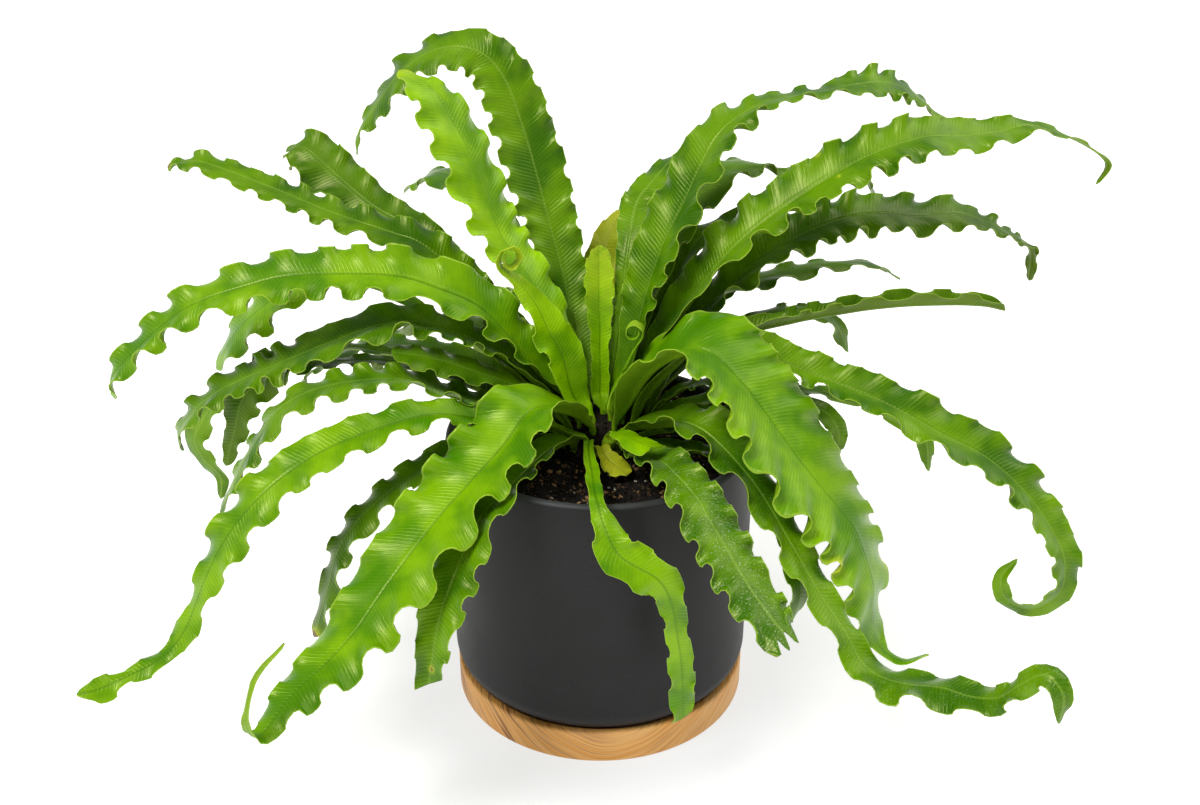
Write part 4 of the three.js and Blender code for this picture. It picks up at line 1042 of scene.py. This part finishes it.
def blade_mesh(row, seat, seed, thickness):
    """Points, faces and attributes of a frond: the middle surface with a thickness on both faces.

    The upper face adds two low shoulders beside the rib's groove and the lower face a keel. Near
    the stem both become half ellipses, and the foot stands straight in its hole.
    """
    grid = frond_surface(row, seat, seed)
    middle, off, q, s = grid["middle"], grid["off"], grid["q"], grid["share"]
    normal = unit(np.cross(np.gradient(middle, axis=0), np.gradient(middle, axis=1)))
    thin = 1 - 0.75 * np.minimum(1.3 * s, 1)
    groove = 0.5 * np.exp(-(off / GROOVE_WIDTH) ** 2)
    swelling = np.exp(-((np.abs(off) - SHOULDER_OFF) / SHOULDER_WIDTH) ** 2)
    shoulders = 0.4 * thin * (swelling - groove)
    keel = (0.35 + 2.0 * thin ** 2) * np.exp(-(off / (0.75 + 0.5 * thin)) ** 2)
    oval = np.sqrt(np.maximum(1 - q ** 2, 0.01))
    stalk = 1 - smoothstep(0.0, STALK_SHARE, s)
    upper = (thickness / 2 + shoulders) * (1 - stalk) + STALK_UPPER * oval * stalk
    lower = (thickness / 2 + keel) * (1 - stalk) + STALK_LOWER * oval * stalk
    foot_off = off[0] / np.abs(off[0]).max() * STEM_WIDTH / 2
    foot_oval = np.sqrt(np.maximum(1 - (2 * foot_off / STEM_WIDTH) ** 2, 0.01))
    sheets = []
    for sign, depth in ((1, upper), (-1, lower)):
        foot = np.zeros((len(FOOT_HEIGHTS), len(foot_off), 3))
        foot[..., 0] = seat["reach"] - sign * FOOT_THICKNESS * foot_oval
        foot[..., 1] = seat["side"] + foot_off
        foot[..., 2] = seat["top"] + np.array(FOOT_HEIGHTS)[:, None]
        sheets.append(np.concatenate([foot, middle + sign * normal * depth[..., None]]))
    rows, columns = sheets[0].shape[:2]
    points = np.concatenate([sheets[0], sheets[1][:, ::-1]], axis=1).reshape(-1, 3)
    cos, sin = math.cos(seat["azimuth"]), math.sin(seat["azimuth"])
    x = points[:, 0] * cos - points[:, 1] * sin
    y = points[:, 0] * sin + points[:, 1] * cos
    i = np.arange(columns - 1)
    base = np.stack([i, i + 1, 2 * columns - 2 - i, 2 * columns - 1 - i], axis=-1)
    tip = (rows - 1) * 2 * columns + base[:, ::-1]
    faces = [grid_faces(rows, 2 * columns, wrap=True), base, tip]

    def both(values, foot=0.0):
        """A grid of values for both faces, with the rows of the foot put before it."""
        whole = np.concatenate([np.tile(foot + 0 * foot_off, (len(FOOT_HEIGHTS), 1)), values])
        return np.concatenate([whole, whole[:, ::-1]], axis=1).reshape(-1)

    under = np.repeat([[0.0], [1.0]], columns, axis=1).reshape(1, -1)
    return np.column_stack([x, y, points[:, 2]]), faces, {
        "leaf_place": np.column_stack([both(off, foot_off), both(grid["along"]), both(np.abs(q))]),
        "leaf_marks": np.column_stack([both(mark) for mark in blotch_marks(grid)]),
        "leaf_under": np.repeat(under, rows, axis=0).reshape(-1),
        # The crests' height, for the painted highlight on them
        "painted_crest_highlight": both(grid["crest"]),
    }


def make_tier(tier, thickness):
    """All fronds of one tier as pieces in place of their solids."""
    rows = TIERS[tier]
    for i, (row, seat) in enumerate(zip(rows, seats_of(rows, TIER_RADII[tier]))):
        points, faces, attributes = blade_mesh(row, seat, 20 * tier + i + 1, thickness)
        finish = leaf_finish(row["slot"])
        piece = mesh_object(row["name"] + "_blade", points, faces, finish, attributes)
        settle(piece, row["slot"], row["name"])


# ---------------------------------------------------------------------------------------------
# Pot, saucer, soil and rootstock geometry
# ---------------------------------------------------------------------------------------------
def make_saucer(sizes, colours):
    """The saucer's profile, with finely rounded edges, carried round Z."""
    radius, height = sizes.saucer_radius / MM, sizes.saucer_height / MM
    side, seat = radius - SAUCER_EDGE, height - RECESS_DEPTH
    profile = joined(
        (0, 0), (side * 0.5, 0), arc(side, SAUCER_EDGE, SAUCER_EDGE, -90, 0, 8),
        arc(side, height - SAUCER_EDGE, SAUCER_EDGE, 0, 90, 8),
        arc(RECESS_RADIUS + RECESS_EDGE, height - RECESS_EDGE, RECESS_EDGE, 90, 180, 4),
        (RECESS_RADIUS, seat + 0.1), (RECESS_RADIUS - 0.1, seat), (RECESS_RADIUS * 0.5, seat),
        (0, seat),
    )
    points, faces = turned(profile, ROUND_STEPS)
    material = oiled_wood(list(colours.wood), list(colours.wood_streak))
    piece = mesh_object("turned_wood_saucer", points, faces, material)
    settle(piece, "saucer_wood", "wooden_saucer")


def make_pot(sizes, colours):
    """The pot's wall profile: a rounded foot, a straight side, a rounded lip and the inside."""
    radius, rim = sizes.pot_radius / MM, sizes.pot_rim / MM
    wall, foot = sizes.pot_wall / MM, sizes.saucer_height / MM - RECESS_DEPTH + GAP
    inside, floor, lip = radius - wall, foot + POT_FLOOR, wall / 2
    side = foot + POT_FOOT_ROUND
    profile = joined(
        (DRAIN_RADIUS, foot), arc(radius - POT_FOOT_ROUND, side, POT_FOOT_ROUND, -90, 0, 24),
        [(radius, side + (rim - foot - POT_FOOT_ROUND) * k / 12) for k in range(1, 12)],
        arc(radius - lip, rim - lip, lip, 0, 180, 20),
        arc(inside - POT_INSIDE_ROUND, floor + POT_INSIDE_ROUND, POT_INSIDE_ROUND, 0, -90, 12),
        (DRAIN_RADIUS, floor),
    )
    here = np.arange(ROUND_STEPS)
    angle = here * TURN / ROUND_STEPS
    out, up = profile[:, :1], np.repeat(profile[:, 1:], ROUND_STEPS, axis=1)
    points = np.stack([out * np.cos(angle), out * np.sin(angle), up], axis=-1).reshape(-1, 3)
    rows = len(profile)
    faces = grid_faces(rows, ROUND_STEPS, wrap=True)[:, ::-1]
    after = (here + 1) % ROUND_STEPS
    last = (rows - 1) * ROUND_STEPS
    seam = np.stack([last + here, last + after, after, here], axis=-1)
    glaze = stoneware(list(colours.pot), rim * MM)
    settle(mesh_object("stoneware_pot", points, [faces, seam], glaze), "pot_ceramic", "pot")


def soil_height(x, y):
    """Height of the soil: a low mound towards the crown with crumbs of three sizes on it."""
    mound = SOIL_MOUND * smoothstep(MOUND_FROM, CROWN_RADIUS, np.hypot(x, y))
    crumbs = sum(high * lumps(x, y, broad, seed) for high, broad, seed in CRUMB_WAVES)
    return SOIL_TOP_Z + mound + crumbs - CRUMB_LEVEL


def make_soil(sizes, colours):
    """The soil body with a crumbly top, and the bits of bark and grit that lie on it."""
    wall = (sizes.pot_radius - sizes.pot_wall) / MM - GAP
    floor = sizes.saucer_height / MM - RECESS_DEPTH + 2 * GAP + POT_FLOOR
    hole = CROWN_RADIUS + GAP
    top = [(wall - 0.5 + (hole - wall + 0.5) * k / SOIL_RINGS, SOIL_TOP_Z)
           for k in range(SOIL_RINGS + 1)]
    profile = joined(
        (0, floor),
        arc(wall - POT_INSIDE_ROUND, floor + POT_INSIDE_ROUND, POT_INSIDE_ROUND, -90, 0, 6),
        (wall, SOIL_TOP_Z - 2), top, (hole, CROWN_FOOT_Z - GAP), (0, CROWN_FOOT_Z - GAP),
    )

    def crumble(radius, height, angle):
        """Lifts the rings of the top to the soil's own height."""
        raised = soil_height(radius * np.cos(angle), radius * np.sin(angle))
        return radius, np.where(height > SOIL_TOP_Z - 1, raised, height)

    points, faces = turned(profile, SOIL_STEPS, crumble)
    mix = damp_crumbs("damp potting mix", list(colours.soil), linear(SOIL_LIGHT))
    settle(mesh_object("potting_mix", points, faces, mix), "soil", "soil")
    box = np.array([[x, y, z] for z in (-1, 1) for y in (-1, 1) for x in (-1, 1)], float)
    knobbly = box * (0.75 + 0.25 * draw(np.arange(len(box)), 3.3))[:, None]
    sides = np.array([[0, 2, 3, 1], [4, 5, 7, 6], [0, 1, 5, 4],
                      [2, 6, 7, 3], [0, 4, 6, 2], [1, 3, 7, 5]])
    bits = (
        ("bark_crumbs", sizes.crumbs, 11, (0.25, 1.6), BARK_TONES, 2.6),
        ("perlite_grit", sizes.crumbs // CRUMBS_PER_GRIT, 29, (0.5, 1.3), GRIT_TONES, 1.0),
    )
    for name, count, seed, (small, large), tones, skew in bits:
        n = np.arange(count)
        far = np.sqrt(draw(n, seed) * (wall - 2) ** 2 + (1 - draw(n, seed)) * (hole + 1) ** 2)
        turn = TURN * draw(n, seed + 1)
        x, y = far * np.cos(turn), far * np.sin(turn)
        size = small + (large - small) * draw(n, seed + 2) ** skew
        broad, flat = 0.35 + 0.5 * draw(n, seed + 3), 0.2 + 0.4 * draw(n, seed + 4)
        scales = np.stack([size, size * broad, size * flat], axis=-1)
        tilt = np.stack([draw(n, seed + 5) - 0.5, draw(n, seed + 6) - 0.5,
                         0.35 + draw(n, seed + 7)], axis=-1)
        places = np.stack([x, y, soil_height(x, y) + 0.25 * size], axis=-1)
        points, faces = strewn(knobbly, [sides], places, tilt, TURN * draw(n, seed + 8), scales)
        tone = np.repeat(draw(n, seed + 9) ** 4, len(box))
        chips = chip_material(name.replace("_", " "), tones, 0.85)
        settle(mesh_object(name, points, faces, chips, {"bit_tone": tone}), "soil")


def pointed_scale():
    """Points and faces of a closed scale one high: a flat four-sided spike, (1 - u^2) / 2 wide each
    way and (1 - u) / 4 deep in front at the height u, a quarter of that behind."""
    u = np.array([0.0, 0.4, 0.75])
    wide, deep, none = (1 - u ** 2) / 2, (1 - u) / 4, 0 * u
    sides = [(wide, none, u), (none, -deep / 4, u), (-wide, none, u), (none, deep, u)]
    rings = np.stack([np.stack(side, axis=-1) for side in sides], axis=1).reshape(-1, 3)
    around = np.arange(4)
    last = 4 * (len(u) - 1)
    tip = np.stack([last + around, np.full(4, len(rings)), last + (around + 1) % 4], axis=-1)
    return np.vstack([rings, [[0, 0, 1]]]), [grid_faces(len(u), 4, wrap=True), tip, around[None]]


def make_rootstock():
    """The short trunk: a lumpy cone with upright pointed scales between the stems."""
    profile = joined(
        (0, CROWN_FOOT_Z), (CROWN_RADIUS, CROWN_FOOT_Z), (CROWN_RADIUS, CROWN_SHOULDER_Z - 2),
        [(CROWN_RADIUS + (CROWN_TOP_RADIUS - CROWN_RADIUS) * k / 16,
          CROWN_SHOULDER_Z + (CROWN_TOP_Z - CROWN_SHOULDER_Z) * k / 16) for k in range(17)],
        (CROWN_TOP_RADIUS / 2, CROWN_TOP_Z), (0, CROWN_TOP_Z),
    )

    def gnarl(radius, height, angle):
        """Draws the cone in by up to 2 mm where the noise is low."""
        rough = lumps(radius * np.cos(angle), radius * np.sin(angle) + height, 4, 17)
        return radius - 1.5 * rough, height - 1.2 * rough * (height > CROWN_SHOULDER_Z - 1)

    points, faces = turned(profile, ROOTSTOCK_STEPS, gnarl)
    trunk = damp_crumbs("fern rootstock", *map(linear, ROOTSTOCK_TONES))
    settle(mesh_object("gnarled_rootstock", points, faces, trunk), "rootstock", "rootstock")
    n = np.arange(SCALE_COUNT)
    far = SCALES_FROM + (CROWN_RADIUS - SCALES_FROM) * np.sqrt(draw(n, 41))
    turn = TURN * draw(n, 42)
    scale, scale_faces = pointed_scale()
    places = np.stack([far * np.cos(turn), far * np.sin(turn), crown_height(far) - 1.5], axis=-1)
    out = 0.3 + draw(n, 43)
    lean = np.stack([np.cos(turn) * out, np.sin(turn) * out, 1.2 + 0 * far], axis=-1)
    length = 2 + 3 * draw(n, 44)
    scales = np.stack([1.6 + 1.2 * draw(n, 45), np.ones(len(n)), length], axis=-1)
    points, faces = strewn(scale, scale_faces, places, lean, TURN * draw(n, 46), scales)
    tone = np.repeat(draw(n, 47), len(scale))
    fur = chip_material("fern scales", SCALE_TONES, 0.7)
    settle(mesh_object("rootstock_scales", points, faces, fur, {"bit_tone": tone}), "rootstock")


# ---------------------------------------------------------------------------------------------
# Stage
# ---------------------------------------------------------------------------------------------
def make_stage(context, colours):
    """A pale floor, a pale surround that is brightest at the horizon, two soft suns and the
    camera.

    The floor glows a little. About the saucer it is painted darker, a painted shade, and glows
    more, a painted fill light, so that its cast shadows stay faint.
    """
    scene = context.scene
    paper, tree = new_material("pale paper floor")
    where = add(tree, "ShaderNodeTexCoord").outputs["Object"]
    grain = noise(tree, where, 0.002)
    away = add(tree, "ShaderNodeVectorMath", {0: where}, operation="LENGTH").outputs["Value"]
    # Painted shade and painted fill light: about the saucer the floor's tone is darker and its glow
    # stronger, so that cast shadows there stay faint
    near = ranged(tree, away, FLOOR_FAR, FLOOR_NEAR)
    tone = mixed(tree, near, list(colours.floor), linear(PAINTED_FLOOR_SHADE))
    glow = maths(tree, "MULTIPLY_ADD", near, 0.28, 0.48)
    finish_material(tree, tone, 0.9, grain, 0.00002, Specular_IOR_Level=0.1,
                    Emission_Color=(1.0, 1.0, 0.985, 1), Emission_Strength=glow)
    corners = FLOOR_REACH * np.array([[-1, -1, 0], [1, -1, 0], [1, 1, 0], [-1, 1, 0]])
    floor = mesh_object("paper_floor", corners, [np.array([[0, 1, 2, 3]])], paper)
    world = bpy.data.worlds.new("pale surround")
    world.use_nodes = True
    scene.world = world
    sky = world.node_tree
    sky.nodes.clear()
    direction = add(sky, "ShaderNodeTexCoord").outputs["Generated"]
    up = add(sky, "ShaderNodeSeparateXYZ", {0: direction}).outputs[2]
    strength = ranged(sky, up, 0.12, 0.6, 0.6, 0.2)
    light = add(sky, "ShaderNodeBackground", {"Color": (1, 1, 1, 1), "Strength": strength})
    add(sky, "ShaderNodeOutputWorld", {"Surface": light.outputs[0]})
    for name, aim, power, spread in SUNS:
        sun = bpy.data.lights.new(name, "SUN")
        sun.energy = power
        sun.angle = math.radians(spread)
        lamp = bpy.data.objects.new(name, sun)
        lamp.rotation_euler = Vector(aim).to_track_quat("-Z", "Y").to_euler()
        scene.collection.objects.link(lamp)
    lens = bpy.data.cameras.new("camera")
    lens.sensor_width = SENSOR_WIDTH
    lens.lens = CAMERA_LENS
    camera = bpy.data.objects.new("camera", lens)
    camera.location = CAMERA_PLACE
    camera.rotation_euler = (math.pi / 2 - CAMERA_TILT, 0, 0)
    scene.collection.objects.link(camera)
    scene.camera = camera
    scene.view_settings.view_transform = "Standard"


# ---------------------------------------------------------------------------------------------
# Settings, operators and panel
# ---------------------------------------------------------------------------------------------
def size_of(label, text, default):
    """A length in metres that a user may change."""
    return FloatProperty(name=label, description=text, default=default, min=0, unit="LENGTH")


def colour_of(label, text, default):
    """A colour that a user may change, given as a hex sRGB number."""
    return FloatVectorProperty(
        name=label, description=text, default=linear(default), size=4, min=0, max=1,
        subtype="COLOR",
    )


SAUCER_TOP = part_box("wooden_saucer")[1]  # the far corners of the solids' boxes
POT_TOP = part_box("pot")[1]


class FernSizes(bpy.types.PropertyGroup):
    saucer_radius: size_of("Saucer radius", "From the axis to the saucer's edge", SAUCER_TOP[0])
    saucer_height: size_of("Saucer height", "From the floor to the saucer's rim", SAUCER_TOP[2])
    pot_radius: size_of("Pot radius", "From the axis to the pot's side", POT_TOP[0])
    pot_rim: size_of("Pot rim", "Height of the lip above the floor", POT_TOP[2])
    pot_wall: size_of("Pot wall", "Thickness of the pot's wall", 0.005)
    leaf: size_of("Leaf thickness", "Thickness of a frond away from its rib", 0.00042)
    crumbs: IntProperty(name="Crumbs", description="Bits of bark on the soil", default=3200, min=0)


class FernColours(bpy.types.PropertyGroup):
    pot: colour_of("Pot", "The stoneware's charcoal glaze", 0x191919)
    wood: colour_of("Wood", "The saucer's honey tone", 0xD8943E)
    wood_streak: colour_of("Wood streaks", "The dark growth lines of the saucer", 0x84481C)
    soil: colour_of("Soil", "The damp potting mix", 0x090605)
    floor: colour_of("Floor", "The paper that the saucer stands on", 0xE8E8E6)


class FernMaker:
    """What every operator of this file shares."""

    bl_options = {"REGISTER", "UNDO"}

    def settings(self, context):
        """The scene's sizes and colours."""
        return context.scene.fern_sizes, context.scene.fern_colours


class FERN_OT_saucer(FernMaker, bpy.types.Operator):
    """Make the wooden saucer"""

    bl_idname = "fern.saucer"
    bl_label = "Wooden saucer"

    def execute(self, context):
        make_saucer(*self.settings(context))
        return {"FINISHED"}


class FERN_OT_pot(FernMaker, bpy.types.Operator):
    """Make the stoneware pot"""

    bl_idname = "fern.pot"
    bl_label = "Stoneware pot"

    def execute(self, context):
        make_pot(*self.settings(context))
        return {"FINISHED"}


class FERN_OT_soil(FernMaker, bpy.types.Operator):
    """Make the potting mix with its bark and grit"""

    bl_idname = "fern.soil"
    bl_label = "Potting mix"

    def execute(self, context):
        make_soil(*self.settings(context))
        return {"FINISHED"}


class FERN_OT_rootstock(FernMaker, bpy.types.Operator):
    """Make the rootstock with its scales"""

    bl_idname = "fern.rootstock"
    bl_label = "Rootstock"

    def execute(self, context):
        make_rootstock()
        return {"FINISHED"}


class FERN_OT_young_fronds(FernMaker, bpy.types.Operator):
    """Make the upright young fronds and croziers of the middle"""

    bl_idname = "fern.young_fronds"
    bl_label = "Young fronds"

    def execute(self, context):
        make_tier(0, self.settings(context)[0].leaf / MM)
        return {"FINISHED"}


class FERN_OT_upper_fronds(FernMaker, bpy.types.Operator):
    """Make the long fronds of the second ring"""

    bl_idname = "fern.upper_fronds"
    bl_label = "Upper fronds"

    def execute(self, context):
        make_tier(1, self.settings(context)[0].leaf / MM)
        return {"FINISHED"}


class FERN_OT_middle_fronds(FernMaker, bpy.types.Operator):
    """Make the fronds of the third ring"""

    bl_idname = "fern.middle_fronds"
    bl_label = "Middle fronds"

    def execute(self, context):
        make_tier(2, self.settings(context)[0].leaf / MM)
        return {"FINISHED"}


class FERN_OT_lower_fronds(FernMaker, bpy.types.Operator):
    """Make the low and hanging fronds of the outer ring"""

    bl_idname = "fern.lower_fronds"
    bl_label = "Lower fronds"

    def execute(self, context):
        make_tier(3, self.settings(context)[0].leaf / MM)
        return {"FINISHED"}


class FERN_OT_stage(FernMaker, bpy.types.Operator):
    """Make the floor, the light and the camera"""

    bl_idname = "fern.stage"
    bl_label = "Stage"

    def execute(self, context):
        make_stage(context, self.settings(context)[1])
        return {"FINISHED"}


MAKERS = (
    FERN_OT_saucer, FERN_OT_pot, FERN_OT_soil, FERN_OT_rootstock, FERN_OT_young_fronds,
    FERN_OT_upper_fronds, FERN_OT_middle_fronds, FERN_OT_lower_fronds, FERN_OT_stage,
)


class FERN_PT_panel(bpy.types.Panel):
    """Lists the sizes, the colours and the makers"""

    bl_idname = "FERN_PT_panel"
    bl_label = "Potted fern"
    bl_space_type = "VIEW_3D"
    bl_region_type = "UI"
    bl_category = "Fern"

    def draw(self, context):
        for group in (context.scene.fern_sizes, context.scene.fern_colours):
            for key in group.__annotations__:
                self.layout.prop(group, key)
        for maker in MAKERS:
            self.layout.operator(maker.bl_idname)


CLASSES = (FernSizes, FernColours) + MAKERS + (FERN_PT_panel,)


def register():
    """Registers the classes and hangs the settings on the scene."""
    for entry in CLASSES:
        bpy.utils.register_class(entry)
    bpy.types.Scene.fern_sizes = PointerProperty(type=FernSizes)
    bpy.types.Scene.fern_colours = PointerProperty(type=FernColours)


def unregister():
    """Takes the settings and the classes away again."""
    del bpy.types.Scene.fern_colours
    del bpy.types.Scene.fern_sizes
    for entry in reversed(CLASSES):
        bpy.utils.unregister_class(entry)


def main():
    register()
    bpy.ops.fern.saucer()
    bpy.ops.fern.pot()
    bpy.ops.fern.soil()
    bpy.ops.fern.rootstock()
    bpy.ops.fern.young_fronds()
    bpy.ops.fern.upper_fronds()
    bpy.ops.fern.middle_fronds()
    bpy.ops.fern.lower_fronds()
    bpy.ops.fern.stage()


if __name__ == "__main__":
    main()
